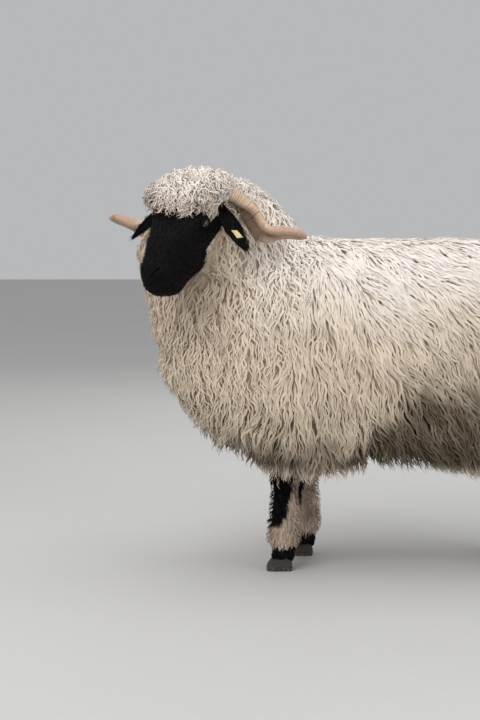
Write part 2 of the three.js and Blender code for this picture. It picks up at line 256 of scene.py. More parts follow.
def finished(piece: bpy.types.Object) -> bpy.types.Object:
    """Makes the result of an object's modifiers its own mesh, and takes the modifiers off."""
    bpy.context.view_layer.update()
    seen = piece.evaluated_get(bpy.context.evaluated_depsgraph_get())
    mesh = bpy.data.meshes.new_from_object(seen)
    old = piece.data
    piece.modifiers.clear()
    piece.data = mesh
    bpy.data.meshes.remove(old)
    return piece


def remeshed(piece: bpy.types.Object, voxel: float) -> bpy.types.Object:
    """Fuses what an object holds into one even, closed mesh."""
    remesh = piece.modifiers.new("Remesh", "REMESH")
    remesh.mode = "VOXEL"
    remesh.voxel_size = voxel
    return finished(piece)


def whole_body(name: str, voxel: float) -> bpy.types.Object:
    """The flesh solids and the hulls of neck and forelock as one even, closed mesh."""
    return remeshed(fused([ended(merged(SOLIDS), name)] + [hull_of(node) for node in HULLS]), voxel)


def joined(piece: bpy.types.Object, other: bpy.types.Object) -> bpy.types.Object:
    """Unites one closed object with another, which is then removed."""
    union = piece.modifiers.new("Union", "BOOLEAN")
    union.operation = "UNION"
    union.solver = "MANIFOLD"
    union.object = other
    finished(piece)
    bpy.data.objects.remove(other)
    return piece


def tree_of(mesh: bpy.types.Mesh) -> BVHTree:
    """A search tree of a mesh's faces."""
    return BVHTree.FromPolygons([v.co for v in mesh.vertices], [p.vertices for p in mesh.polygons])


def table_of(items: bpy.types.bpy_prop_collection, key: str, width: int, kind: type = float) -> Array:
    """One property of a mesh's items as a table, width numbers to a row."""
    found = np.empty(len(items) * width, kind)
    items.foreach_get(key, found)
    return found.reshape(-1, width)


def add_uv(mesh: bpy.types.Mesh, name: str, values: Array) -> None:
    """Adds a UV map from one pair of numbers for each point."""
    corners = table_of(mesh.loops, "vertex_index", 1, np.int64)[:, 0]
    mesh.uv_layers.new(name=name).uv.foreach_set("vector", values[corners].astype(np.float32).ravel())


def store(mesh: bpy.types.Mesh, **columns: Array) -> None:
    """Stores numbers for a mesh's points, each column under its own name."""
    for name, values in columns.items():
        mesh.attributes.new(name, "FLOAT", "POINT").data.foreach_set("value", values.astype(np.float32))


class Surface:
    """A mesh's points, edges and triangles as arrays, for moving many points at once."""

    def __init__(self, mesh: bpy.types.Mesh) -> None:
        """Reads a mesh.

        Args:
            mesh: The mesh to read, and later to write back.
        """
        self.mesh = mesh
        mesh.calc_loop_triangles()
        self.points = table_of(mesh.vertices, "co", 3)
        self.edges = table_of(mesh.edges, "vertices", 2, np.int64)
        self.triangles = table_of(mesh.loop_triangles, "vertices", 3, np.int64)
        self.degree = np.bincount(self.edges.ravel(), minlength=len(self.points))

    def faces(self) -> tuple[Array, Array]:
        """The middle of each triangle, and its normal with twice its area as length."""
        a, b, c = (self.points[self.triangles[:, k]] for k in range(3))
        return (a + b + c) / 3, np.cross(b - a, c - a)

    def normals(self) -> Array:
        """Unit normals at the points."""
        _, face = self.faces()
        total = np.zeros_like(self.points)
        for k in range(3):
            for axis in range(3):
                total[:, axis] += np.bincount(self.triangles[:, k], face[:, axis], len(self.points))
        return unit(total)

    def spread(self, values: Array, times: int, share: float = 0.5) -> Array:
        """Values at the points, evened out along the edges.

        Args:
            values: A column or a table with one row for each point.
            times: How often each point takes on its neighbours' mean.
            share: How far it moves towards it each time.

        Returns:
            The evened values.
        """
        values = np.array(values, float)
        flat = values.reshape(len(values), -1)
        a, b = self.edges[:, 0], self.edges[:, 1]
        for _ in range(times):
            sums = [np.bincount(a, row[b], len(flat)) + np.bincount(b, row[a], len(flat)) for row in flat.T]
            mean = np.stack(sums, 1) / np.maximum(self.degree, 1)[:, None]
            flat = flat + (mean - flat) * share
        return flat.reshape(values.shape)

    def relax(self, times: int) -> None:
        """Smooths the form and keeps its size: each step in is followed by a step out."""
        for _ in range(times):
            self.points = self.spread(self.points, 1, 0.6)
            self.points = self.spread(self.points, 1, -0.62)

    def sink(self, depth: Array, steps: int) -> None:
        """Moves the surface inwards in small steps, rounding it as it goes.

        Args:
            depth: How far in, for each point, in metres.
            steps: Number of steps.
        """
        for _ in range(steps):
            self.points -= self.normals() * (depth / steps)[:, None]
            self.points = self.spread(self.points, 1, 0.35)

    def write(self) -> None:
        """Puts the points back into the mesh."""
        self.mesh.vertices.foreach_set("co", self.points.ravel())
        self.mesh.update()


class Outline:
    """The outer surface of the coat, which is asked for its nearest point."""

    def __init__(self, piece: bpy.types.Object) -> None:
        """Builds the search tree of an object's mesh."""
        self.tree = tree_of(piece.data)

    def nearest(self, points: Array) -> tuple[Array, Array]:
        """Nearest places on the outline.

        Args:
            points: Points, one a row.

        Returns:
            The places, and the outward normals there.
        """
        places, normals = np.empty_like(points), np.empty_like(points)
        for i, point in enumerate(points):
            places[i], normals[i] = self.tree.find_nearest(point)[:2]
        return places, normals


# ---- Markings, the same on skin and coat ----


@dataclass(frozen=True)
class Markings:
    """Where the sheep is black, where its wool is bleached, and where grime and painted shade darken it. Each
    answer goes from 0 to 1.
    """

    fore_feet: tuple[tuple[float, float], ...] = ((-0.2121, -0.0547), (-0.1521, 0.1293))
    hind_feet: tuple[tuple[float, float], ...] = ((0.4219, -0.0667), (0.3739, 0.1413))
    boot_top: float = 0.060
    knee: tuple[float, float] = (0.118, 0.262)  # foot and top of the black patch on a foreleg
    hock: tuple[float, float] = (0.150, 0.300)
    hock_back: float = 0.02  # how far the hock stands behind the foot
    patch_reach: float = 0.085  # how far from the foot's axis a leg's black patch goes
    hem: float = 0.27  # height at which the fleece is darkest, with grime and painted shade
    rear_rise: float = 0.14  # how much higher the grime and painted shade reach at the rear
    leg_wool: float = 0.29  # height below which the wool is the legs' own
    leg_grime: float = 0.22
    back: float = 0.80  # height from which the wool is fully bleached
    head_wool: float = 0.92  # how bleached the head is

    def face_edge(self, local: Array) -> Array:
        """How far back the black of the face reaches, as x in the head's axes."""
        side, up = np.abs(local[:, 1]), local[:, 2]
        crown = 118 - 36 * ease(side, 34, 62)
        cheek = 34 + 90 * ease(up, -70, -98)
        beside = np.maximum(np.minimum(crown, 75 - 41 * ease(up, -18, -60)), cheek * (up < -60))
        return np.where(up > -18, crown, beside)

    def black(self, points: Array) -> Array:
        """Share of black hair."""
        local = HEAD.local(points)
        ragged = ripple(points, 0.012, 3) * 5 + ripple(points, 0.03, 4) * 5
        face = ease(local[:, 0] - self.face_edge(local) + ragged, -3, 3)
        on_head = np.abs(local[:, 1]) < np.where(local[:, 2] > -75, HEAD_HALF, 80)
        found = face * (on_head & (local[:, 0] > 20) & (local[:, 2] > -170) & (local[:, 2] < 40))
        for ear in EARS.values():
            found = np.maximum(found, ear.holds(local))
        height = points[:, 2] + ripple(points, 0.01, 5) * 0.004
        found = np.maximum(found, ease(height, self.boot_top + 0.004, self.boot_top - 0.002))
        kinds = ((self.fore_feet, self.knee, 1.0, 0.0), (self.hind_feet, self.hock, -1.0, self.hock_back))
        for feet, (bottom, top), turn, back in kinds:
            for x, y in feet:
                dx, dy = points[:, 0] - x - back, points[:, 1] - y
                forward = -dx * turn + 0.35 * np.sign(y - MIDLINE) * dy
                reach = np.hypot(dx, dy)
                height = np.clip((points[:, 2] - bottom) / (top - bottom), 0, 1.2)
                wide = -0.9 + 1.35 * (1 - height) if turn > 0 else -0.5 + 1.2 * np.abs(height - 0.55)
                facing = forward / np.maximum(reach, 1e-6) + ripple(points, 0.014, 6) * 0.14
                patch = ease(facing, wide - 0.12, wide + 0.12) * (reach < self.patch_reach)
                tall = ease(points[:, 2] + ripple(points, 0.02, 8) * 0.008, bottom - 0.004, bottom + 0.006)
                tall = tall * ease(points[:, 2], top + 0.02, top)
                found = np.maximum(found, patch * tall)
        return found

    def grime_and_shade(self, points: Array) -> Array:
        """Share of darkening: grime and painted shade along the hem, reaching higher at the rear, painted shade
        in the parting, and some grime on the legs.
        """
        rear = ease(points[:, 0], -0.08, 0.14)
        height = points[:, 2] + ripple(points, 0.07, 11) * 0.03 + ripple(points, 0.02, 12) * 0.012
        height = height - self.rear_rise * rear
        # the hem: grime and painted shade, darker towards the bottom and higher at the rear
        hem = 0.42 * ease(height, self.hem + 0.24, self.hem)
        hem = hem + 0.58 * ease(height, self.hem + 0.09, self.hem - 0.01)
        leg = ease(points[:, 2], self.leg_wool, self.leg_wool - 0.04)
        # painted shade in the gap of the parting behind the shoulder
        hem = np.maximum(hem, 0.9 * self.parting(points, 0.014))
        return hem * (1 - leg) + (self.leg_grime + 0.2 * ripple(points, 0.03, 14)) * leg

    def parting(self, points: Array, width: float) -> Array:
        """Share of the gap where the fleece falls apart behind the shoulder, a gap that is also painted dark as
        shade.
        """
        middle = 0.001 + 0.10 * (points[:, 2] - 0.33)
        near = np.exp(-(((points[:, 0] - middle) / width) ** 2))
        return near * ease(points[:, 2], 0.42, 0.36) * (points[:, 1] < MIDLINE)

    def pink(self, points: Array) -> Array:
        """Share of skin colour that shows through short wool, on the legs and round the face."""
        local = HEAD.local(points)
        leg = ease(points[:, 2], self.leg_wool, self.leg_wool - 0.07)
        leg = leg * (0.75 + 0.25 * ripple(points, 0.03, 15))
        near = ease(local[:, 0] - self.face_edge(local), -45, -5) * (points[:, 2] > 0.6)
        return np.maximum(leg, 0.30 * near * (np.abs(local[:, 1]) < 120))

    def bleach(self, points: Array) -> Array:
        """Share of wool that rain and sun have whitened, on the back and the head."""
        height = points[:, 2] + ripple(points, 0.12, 13) * 0.03
        back = ease(height, self.back - 0.30, self.back) * ease(points[:, 0], -0.38, -0.22)
        crown = ease(points[:, 2], 0.86, 0.96) * self.head_wool
        return np.maximum(back, crown)

    def write(self, mesh: bpy.types.Mesh, points: Array, roots: Array, hairy: bool = True) -> None:
        """Stores the markings on a mesh.

        Args:
            mesh: The mesh.
            points: Its points.
            roots: For each point the place whose hair colour it takes.
            hairy: Whether it has black hair at all; the fleece has none.
        """
        black = self.black(roots) if hairy else np.zeros(len(roots))
        store(mesh, Black=black, Dirt=self.grime_and_shade(points), Bleach=self.bleach(points), Pink=self.pink(roots))


# ---- Shader maths ----


class Signal:
    """A number that varies over a surface. Its arithmetic adds Math nodes."""

    def __init__(self, paint: "Paint", socket: bpy.types.NodeSocket) -> None:
        """Wraps a socket of a paint's node tree."""
        self.paint = paint
        self.socket = socket

    def _math(self, operation: str, *values: "Signal | float") -> "Signal":
        """Adds one Math node and returns its result."""
        node = self.paint.node("ShaderNodeMath", {"operation": operation}, dict(enumerate(values)))
        return Signal(self.paint, node.outputs[0])

    def __add__(self, other: "Signal | float") -> "Signal":
        """The sum."""
        return self._math("ADD", self, other)

    def __radd__(self, other: float) -> "Signal":
        """The sum, from a plain number."""
        return self._math("ADD", other, self)

    def __sub__(self, other: "Signal | float") -> "Signal":
        """The difference."""
        return self._math("SUBTRACT", self, other)

    def __rsub__(self, other: float) -> "Signal":
        """The difference, from a plain number."""
        return self._math("SUBTRACT", other, self)

    def __mul__(self, other: "Signal | float") -> "Signal":
        """The product."""
        return self._math("MULTIPLY", self, other)

    def __rmul__(self, other: float) -> "Signal":
        """The product, from a plain number."""
        return self._math("MULTIPLY", other, self)

    def __pow__(self, other: float) -> "Signal":
        """The power."""
        return self._math("POWER", self, other)

    def step(self, low: float, high: float) -> "Signal":
        """A smooth step from 0 at low to 1 at high."""
        settings = {"interpolation_type": "SMOOTHSTEP"}
        node = self.paint.node("ShaderNodeMapRange", settings, {0: self, 1: low, 2: high, 3: 0.0, 4: 1.0})
        return Signal(self.paint, node.outputs[0])


class Paint:
    """A material under construction."""

    def __init__(self, name: str) -> None:
        """Starts a material with a Principled shader."""
        self.material = bpy.data.materials.new(name)
        self.material.use_nodes = True
        self.tree = self.material.node_tree
        self.tree.nodes.clear()
        self.shader = self.tree.nodes.new("ShaderNodeBsdfPrincipled")
        output = self.tree.nodes.new("ShaderNodeOutputMaterial")
        self.tree.links.new(self.shader.outputs[0], output.inputs["Surface"])

    def node(self, kind: str, settings: dict[str, object], inputs: dict[int | str, object]) -> bpy.types.Node:
        """Adds a node.

        Args:
            kind: The node's type.
            settings: Its properties, set before anything else.
            inputs: Values, signals or sockets for its inputs, by number or name.

        Returns:
            The node.
        """
        made = self.tree.nodes.new(kind)
        for key, value in settings.items():
            setattr(made, key, value)
        for key, value in inputs.items():
            self.feed(made.inputs[key], value)
        return made

    def feed(self, socket: bpy.types.NodeSocket, value: object) -> None:
        """Gives an input its value: a signal, a socket, a colour or a plain number."""
        source = value.socket if isinstance(value, Signal) else value
        if isinstance(source, bpy.types.NodeSocket):
            self.tree.links.new(source, socket)
        else:
            socket.default_value = (*source, 1.0) if isinstance(source, tuple) else source

    def attribute(self, name: str) -> Signal:
        """A number stored on the mesh."""
        return Signal(self, self.node("ShaderNodeAttribute", {"attribute_name": name}, {}).outputs["Fac"])

    def uv(self, name: str) -> tuple[Signal, Signal]:
        """The two coordinates of a UV map."""
        both = self.node("ShaderNodeUVMap", {"uv_map": name}, {}).outputs[0]
        split = self.node("ShaderNodeSeparateXYZ", {}, {0: both})
        return Signal(self, split.outputs[0]), Signal(self, split.outputs[1])

    def place(self) -> bpy.types.NodeSocket:
        """Object coordinates, in metres."""
        return self.node("ShaderNodeTexCoord", {}, {}).outputs["Object"]

    def vector(self, x: Signal | float, y: Signal | float, z: Signal | float = 0.0) -> bpy.types.NodeSocket:
        """Three numbers as a vector."""
        return self.node("ShaderNodeCombineXYZ", {}, {0: x, 1: y, 2: z}).outputs[0]

    def noise(self, scale: float, detail: float = 2.0, vector: bpy.types.NodeSocket | None = None) -> Signal:
        """Cloudy noise from 0 to 1."""
        source = self.place() if vector is None else vector
        made = self.node("ShaderNodeTexNoise", {}, {"Vector": source, "Scale": scale, "Detail": detail})
        return Signal(self, made.outputs["Fac"])

    def mix(
        self, share: Signal | float, first: object, second: object, blend: str = "MIX"
    ) -> bpy.types.NodeSocket:
        """A colour between two colours, or another blend of them."""
        settings = {"data_type": "RGBA", "blend_type": blend}
        return self.node("ShaderNodeMix", settings, {0: share, 6: first, 7: second}).outputs[2]

    def shade(self, colour: object, factor: Signal) -> bpy.types.NodeSocket:
        """A colour made lighter or darker by a factor."""
        grey = self.node("ShaderNodeCombineColor", {}, {0: factor, 1: factor, 2: factor}).outputs[0]
        return self.mix(1.0, colour, grey, "MULTIPLY")

    def finish(
        self,
        colour: object,
        roughness: Signal | float,
        height: Signal | None = None,
        relief: float = 0.001,
        **constants: object,
    ) -> bpy.types.Material:
        """Connects the shader.

        Args:
            colour: Base colour, a socket or three numbers.
            roughness: Roughness.
            height: What raises the surface, if anything does.
            relief: How high a height of 1 stands, in metres.
            constants: Other inputs of the shader, with _ for each space in the name.

        Returns:
            The material.
        """
        wanted = {"Base Color": colour, "Roughness": roughness}
        wanted |= {key.replace("_", " "): value for key, value in constants.items()}
        if height is not None:
            bump = self.node("ShaderNodeBump", {}, {"Strength": 1.0, "Distance": relief, "Height": height})
            wanted["Normal"] = bump.outputs[0]
        for key, value in wanted.items():
            self.feed(self.shader.inputs[key], value)
        return self.material


# ---- Finishes ----


@dataclass(frozen=True)
class WoolFinish:
    """Creamy wool that goes warm beige towards its root, white where bleached, dark brown with grime and painted
    shade along the hem and with painted shade in the parting.
    """

    tip: Colour = (0.90, 0.76, 0.60)
    root: Colour = (0.84, 0.65, 0.46)
    bleached: Colour = (0.95, 0.88, 0.81)
    bleached_root: Colour = (0.93, 0.81, 0.68)
    # colour of grime and painted shade
    grimy_and_shaded: Colour = (0.062, 0.045, 0.022)
    pink: Colour = (0.60, 0.44, 0.36)
    black: Colour = (0.004, 0.0035, 0.004)
    black_tip: Colour = (0.010, 0.009, 0.010)

    def dress(self, name: str) -> bpy.types.Material:
        """Makes the material of a coat piece."""
        paint = Paint(name)
        along, tone, bleach = paint.attribute("Along"), paint.attribute("Tone"), paint.attribute("Bleach")
        rise = along.step(0.0, 0.6)
        plain = paint.mix(rise, self.root, self.tip)
        pale = paint.mix(rise, self.bleached_root, self.bleached)
        wool = paint.mix(bleach, plain, pale)
        wool = paint.mix(paint.attribute("Pink") * 0.8, wool, self.pink)
        # grime and painted shade along the hem, painted shade in the parting
        wool = paint.mix(paint.attribute("Dirt") * (0.7 + 0.3 * tone), wool, self.grimy_and_shaded)
        u, v = paint.uv("Strand")
        streak = paint.noise(1.0, 2.0, paint.vector(u * 9.0, v * 1.2, tone * 40.0))
        depth = 0.20 - 0.13 * bleach
        wool = paint.shade(wool, 1.0 - depth + depth * tone + 0.18 * (streak - 0.5))
        black = paint.mix(along.step(0.2, 1.0) * tone, self.black, self.black_tip)
        colour = paint.mix(paint.attribute("Black"), wool, black)
        return paint.finish(colour, 0.9, streak, 0.0006, Specular_IOR_Level=0.04)


@dataclass(frozen=True)
class SkinFinish:
    """What lies under the locks: dense underwool, or close black hair with fine relief."""

    wool: Colour = (0.86, 0.73, 0.58)
    bleached: Colour = (0.93, 0.86, 0.78)
    pink: Colour = (0.50, 0.36, 0.29)
    # colour of grime and painted shade
    grimy_and_shaded: Colour = (0.060, 0.042, 0.022)
    black: Colour = (0.0035, 0.003, 0.0035)
    worn: Colour = (0.009, 0.008, 0.009)

    def dress(self, name: str) -> bpy.types.Material:
        """Makes the material of the skin."""
        paint = Paint(name)
        black = paint.attribute("Black")
        u, v = paint.uv("Lie")
        hair = paint.noise(1.0, 3.0, paint.vector(u * 900.0, v * 160.0))
        fluff = paint.noise(160.0, 4.0)
        wool = paint.mix(paint.attribute("Bleach"), self.wool, self.bleached)
        wool = paint.mix(paint.attribute("Pink") * 0.8, wool, self.pink)
        # grime and painted shade along the hem, painted shade in the parting
        wool = paint.mix(paint.attribute("Dirt"), wool, self.grimy_and_shaded)
        wool = paint.shade(wool, 0.70 + 0.5 * fluff)
        dark = paint.mix(hair.step(0.42, 0.8) * paint.noise(30.0).step(0.3, 0.7), self.black, self.worn)
        colour = paint.mix(black, wool, dark)
        height = hair * black + fluff * (1 - black) * 2.0
        return paint.finish(colour, 0.9 - 0.25 * black, height, 0.0010, Specular_IOR_Level=0.10)


@dataclass(frozen=True)
class HornFinish:
    """Ringed tan horn, paler at the base, with painted shade in the furrows between rings and in the hollow of
    the curl.
    """

    pale: Colour = (0.78, 0.58, 0.42)
    warm: Colour = (0.64, 0.45, 0.30)
    pink: Colour = (0.53, 0.35, 0.26)
    tip: Colour = (0.18, 0.10, 0.075)
    # painted shade of the furrows and of the hollow
    dark: Colour = (0.080, 0.042, 0.022)

    def dress(self, name: str) -> bpy.types.Material:
        """Makes the material of a horn."""
        paint = Paint(name)
        _, along = paint.uv("Growth")
        warp = paint.noise(35.0, 3.0)
        ring = paint.attribute("Furrow") * (0.75 + warp)
        grain = paint.noise(260.0, 4.0)
        blotch = paint.noise(32.0, 3.0)
        colour = paint.mix(along.step(0.10, 0.5) * (0.4 + 0.6 * blotch), self.pale, self.warm)
        colour = paint.mix(along.step(0.68, 0.80), colour, self.pink)
        # painted shade in the furrows between growth rings, fading towards the tip
        colour = paint.mix(ring * (0.75 - 0.55 * along.step(0.6, 0.8)), colour, self.dark)
        colour = paint.mix(along.step(0.86, 0.96) * blotch.step(0.40, 0.62) * 0.6, colour, self.tip)
        # painted shade in the hollow of the curl
        colour = paint.mix(paint.attribute("Inside") * (0.80 + 0.5 * ring), colour, self.dark)
        colour = paint.shade(colour, 0.72 + 0.56 * grain)
        return paint.finish(colour, 0.5 + 0.25 * grain, grain - ring, 0.0006, Specular_IOR_Level=0.4)


@dataclass(frozen=True)
class ClawFinish:
    """Dark hoof horn with growth lines, scuffed towards the floor."""

    horn: Colour = (0.030, 0.024, 0.020)
    scuff: Colour = (0.16, 0.13, 0.10)

    def dress(self, name: str) -> bpy.types.Material:
        """Makes the material of the claws."""
        paint = Paint(name)
        split = paint.node("ShaderNodeSeparateXYZ", {}, {0: paint.place()})
        height = Signal(paint, split.outputs[2])
        line = paint.noise(1.0, 3.0, paint.vector(height * 420.0, 0.0, paint.noise(25.0) * 2.0))
        scratch = paint.noise(140.0, 5.0)
        worn = height.step(0.020, 0.0) * scratch.step(0.40, 0.65)
        colour = paint.mix(worn * 0.8 + line.step(0.55, 0.7) * 0.15, self.horn, self.scuff)
        relief = line * 0.6 + scratch * 0.4
        return paint.finish(colour, 0.45 + 0.3 * scratch, relief, 0.0006, Specular_IOR_Level=0.5)


@dataclass(frozen=True)
class EyeFinish:
    """Wet eye: brown iris with a level, oblong pupil in a dark surround."""

    white: Colour = (0.045, 0.030, 0.024)
    iris: Colour = (0.060, 0.027, 0.010)
    rim: Colour = (0.018, 0.009, 0.006)
    pupil: Colour = (0.003, 0.003, 0.005)

    def dress(self, name: str) -> bpy.types.Material:
        """Makes the material of an eye. Its UV map holds millimetres from the middle of the iris."""
        paint = Paint(name)
        across, up = paint.uv("Iris")
        out = (across * across + up * up) ** 0.5
        ray = paint.noise(1.0, 3.0, paint.vector(across * 0.9, up * 0.9, 0.0))
        iris = paint.mix((out + ray * 2.0).step(4.5, 9.8), self.iris, self.rim)
        colour = paint.mix(out.step(8.6, 9.3), iris, self.white)
        slot = ((across * across) * 0.055 + (up * up) * 0.42).step(1.15, 0.85)
        colour = paint.mix(slot, colour, self.pupil)
        return paint.finish(colour, 0.05, None, Coat_Weight=0.6, Coat_Roughness=0.03, Specular_IOR_Level=0.35)


@dataclass(frozen=True)
class TagFinish:
    """Pale yellow moulded plastic, with grubby stains."""

    plastic: Colour = (0.78, 0.68, 0.30)
    grubby: Colour = (0.36, 0.30, 0.17)

    def dress(self, name: str) -> bpy.types.Material:
        """Makes the material of the ear tag."""
        paint = Paint(name)
        stain = paint.noise(120.0, 4.0)
        fine = paint.noise(900.0, 2.0)
        colour = paint.mix(stain.step(0.48, 0.75) * 0.7, self.plastic, self.grubby)
        return paint.finish(colour, 0.42 + 0.25 * stain, fine, 0.0002, Specular_IOR_Level=0.5)


@dataclass(frozen=True)
class FloorFinish:
    """A plain pale floor."""

    paint: Colour = (0.60, 0.595, 0.58)

    def dress(self, name: str) -> bpy.types.Material:
        """Makes the material of the floor."""
        paint = Paint(name)
        cloud = paint.noise(1.7, 3.0)
        colour = paint.shade(self.paint, 0.97 + 0.06 * cloud)
        return paint.finish(colour, 0.85, None, Specular_IOR_Level=0.2)


# ---- Ears ----


@dataclass(frozen=True)
class Ear:
    """A hanging ear. Points and directions are in the head's axes, in millimetres, for its own side."""

    side: int
    root: tuple[float, float, float]
    along: tuple[float, float, float]
    face: tuple[float, float, float]  # across its thickness
    length: float = 142.0
    thinned: float = 1.4  # taken off each face of the solid
    voxel: float = 0.0016  # of its mesh, in metres

    def root_point(self) -> Array:
        """Where it leaves the head."""
        return np.array(self.root)

    def direction(self) -> Array:
        """From the root to the tip, as a unit vector."""
        return unit(np.array(self.along, float))

    def holds(self, local: Array) -> Array:
        """1 for points in the ear or close to it, 0 away from it."""
        ahead, thin = self.direction(), unit(np.array(self.face))
        away = local - self.root_point() - ahead * self.length * 0.44
        wide = np.cross(ahead, thin)
        reach = np.stack([away @ ahead / (self.length * 0.64), away @ wide / 33, away @ thin / 12])
        return ease(np.linalg.norm(reach, axis=0), 1.1, 0.95)

    def build(self, node: str) -> bpy.types.Object:
        """The ear's flesh: the solid, thinned, smoothed and carried into the head.

        Args:
            node: Name of the ear's CAD node.

        Returns:
            A closed object.
        """
        piece = remeshed(ended(merged([node]), "ear"), self.voxel)
        skin = Surface(piece.data)
        skin.relax(10)
        skin.points -= skin.normals() * self.thinned * MM
        local = HEAD.local(skin.points)
        share = (local - self.root_point()) @ self.direction() / self.length
        push = ease(share, 0.30, 0.0) * 16
        skin.points = HEAD.place(local - np.outer(push, self.direction()))
        skin.write()
        return piece


EARS = {
    1: Ear(1, (34, 66, -28), (60, 92, -102), (0.56, 0.42, 0.71)),
    -1: Ear(-1, (34, -66, -28), (76, -108, -68), (0.43, -0.24, 0.87)),
}


# ---- The skin ----


@dataclass(frozen=True)
class Press:
    """A sculpting move: every point near a centre is moved, less and less with its distance. In head axes."""

    centre: tuple[float, float, float]
    reach: float
    move: tuple[float, float, float]
    both: bool = True

    def apply(self, local: Array) -> Array:
        """Moves points given in the head's axes."""
        for side in (1, -1) if self.both else (1,):
            middle = np.array(self.centre) * (1, side, 1)
            near = np.exp(-((local - middle) ** 2).sum(1) / self.reach**2)
            local = local + np.outer(near, np.array(self.move) * (1, side, 1))
        return local


@dataclass(frozen=True)
class Groove:
    """A narrow furrow along a line of points, with lips beside it. In head axes."""

    line: tuple[tuple[float, float, float], ...]
    width: float
    depth: float
    lip: float = 0.0
    both: bool = True
    level: bool = False  # measured from the side, whatever a point's y

    def apply(self, local: Array, normals: Array) -> Array:
        """Moves points given in the head's axes along their normals."""
        for side in (1, -1) if self.both else (1,):
            line = np.array(self.line, float) * (1, side, 1)
            mine = local[:, 1] * side > 0 if self.level else np.ones(len(local), bool)
            off = ease(local[:, 1] * side, 0, 6) if self.level and self.both else 1.0
            gap = np.full(len(local), FAR_OFF)
            flat = (1, 0, 1) if self.level else (1, 1, 1)
            for a, b in zip(line[:-1] * flat, line[1:] * flat):
                t = np.clip(((local * flat - a) @ (b - a)) / ((b - a) @ (b - a)), 0, 1)
                gap = np.minimum(gap, np.linalg.norm(local * flat - a - t[:, None] * (b - a), axis=1))
            x = np.where(mine, gap, FAR_OFF) / self.width
            rise = self.lip * np.exp(-((x - 1.9) ** 2)) - self.depth * np.exp(-(x**2))
            local = local + normals * (rise * off)[:, None]
        return local


@dataclass
class Lids:
    """The eyelids, shaped out of the skin round each eyeball. Millimetres in the head's axes."""

    eye: tuple[float, float, float] = (110, 65, -31)
    radius: float = 14.0
    thickness: float = 3.2
    half_length: float = 12.5
    half_height: float = 6.0
    lower_share: float = 0.72  # opening of the lower lid, as a share of the upper one's
    rim: float = 0.9  # how far the lids' edges stand out
    fold_depth: float = 1.3
    fold_at: float = 13.5
    blend: tuple[float, float] = (21, 13)  # distances at which the lids begin and are complete
    limit: float = 22.0
    tilt: float = 14.0  # front corner lower, degrees
    gaze: tuple[float, float, float] = (0.36, 0.92, 0.16)

    def axes(self, side: int) -> Array:
        """Rows: along the eye's slit towards the nose, across it upwards, and out of the head."""
        out = unit(np.array(self.gaze) * (1, side, 1))
        tilt = math.radians(self.tilt)
        ahead = np.array([math.cos(tilt), 0, -math.sin(tilt)])
        ahead = unit(ahead - out * (ahead @ out))
        up = np.cross(out, ahead) * side
        return np.stack([ahead, up * np.sign(up[2]), out])

    def apply(self, local: Array) -> Array:
        """Shapes the skin round both eyes.

        Args:
            local: Points of the skin.

        Returns:
            The moved points.
        """
        for side in (1, -1):
            centre = np.array(self.eye) * (1, side, 1)
            seen = (local - centre) @ self.axes(side).T
            far = np.linalg.norm(seen, axis=1)
            x, y = seen[:, 0], seen[:, 1]
            reach = np.hypot(x / 1.25, y)
            arch = np.clip(1 - (x / self.half_length) ** 2, 0, 1) ** 0.75 * self.half_height
            upper = np.where(y > 0, 1.0, self.lower_share) * arch
            inside = (np.abs(x) < self.half_length) & (np.abs(y) < upper)
            edge = np.abs(y) / np.maximum(upper, 0.01)
            lid = self.radius + self.thickness + self.rim * np.exp(-((edge - 1.25) ** 2) / 0.05)
            fold = self.fold_depth * np.exp(-(((reach - self.fold_at) / 1.6) ** 2)) * (y > -4)
            new = far + (lid - fold - far) * ease(reach, *self.blend)
            new = np.where(inside, self.radius - 4.0, new)
            touched = (seen[:, 2] > 0) & (reach < self.limit) & (far < 40)
            scale = np.where(touched, new / np.maximum(far, 1e-6), 1.0)
            local = centre + (seen * scale[:, None]) @ self.axes(side)
        return local


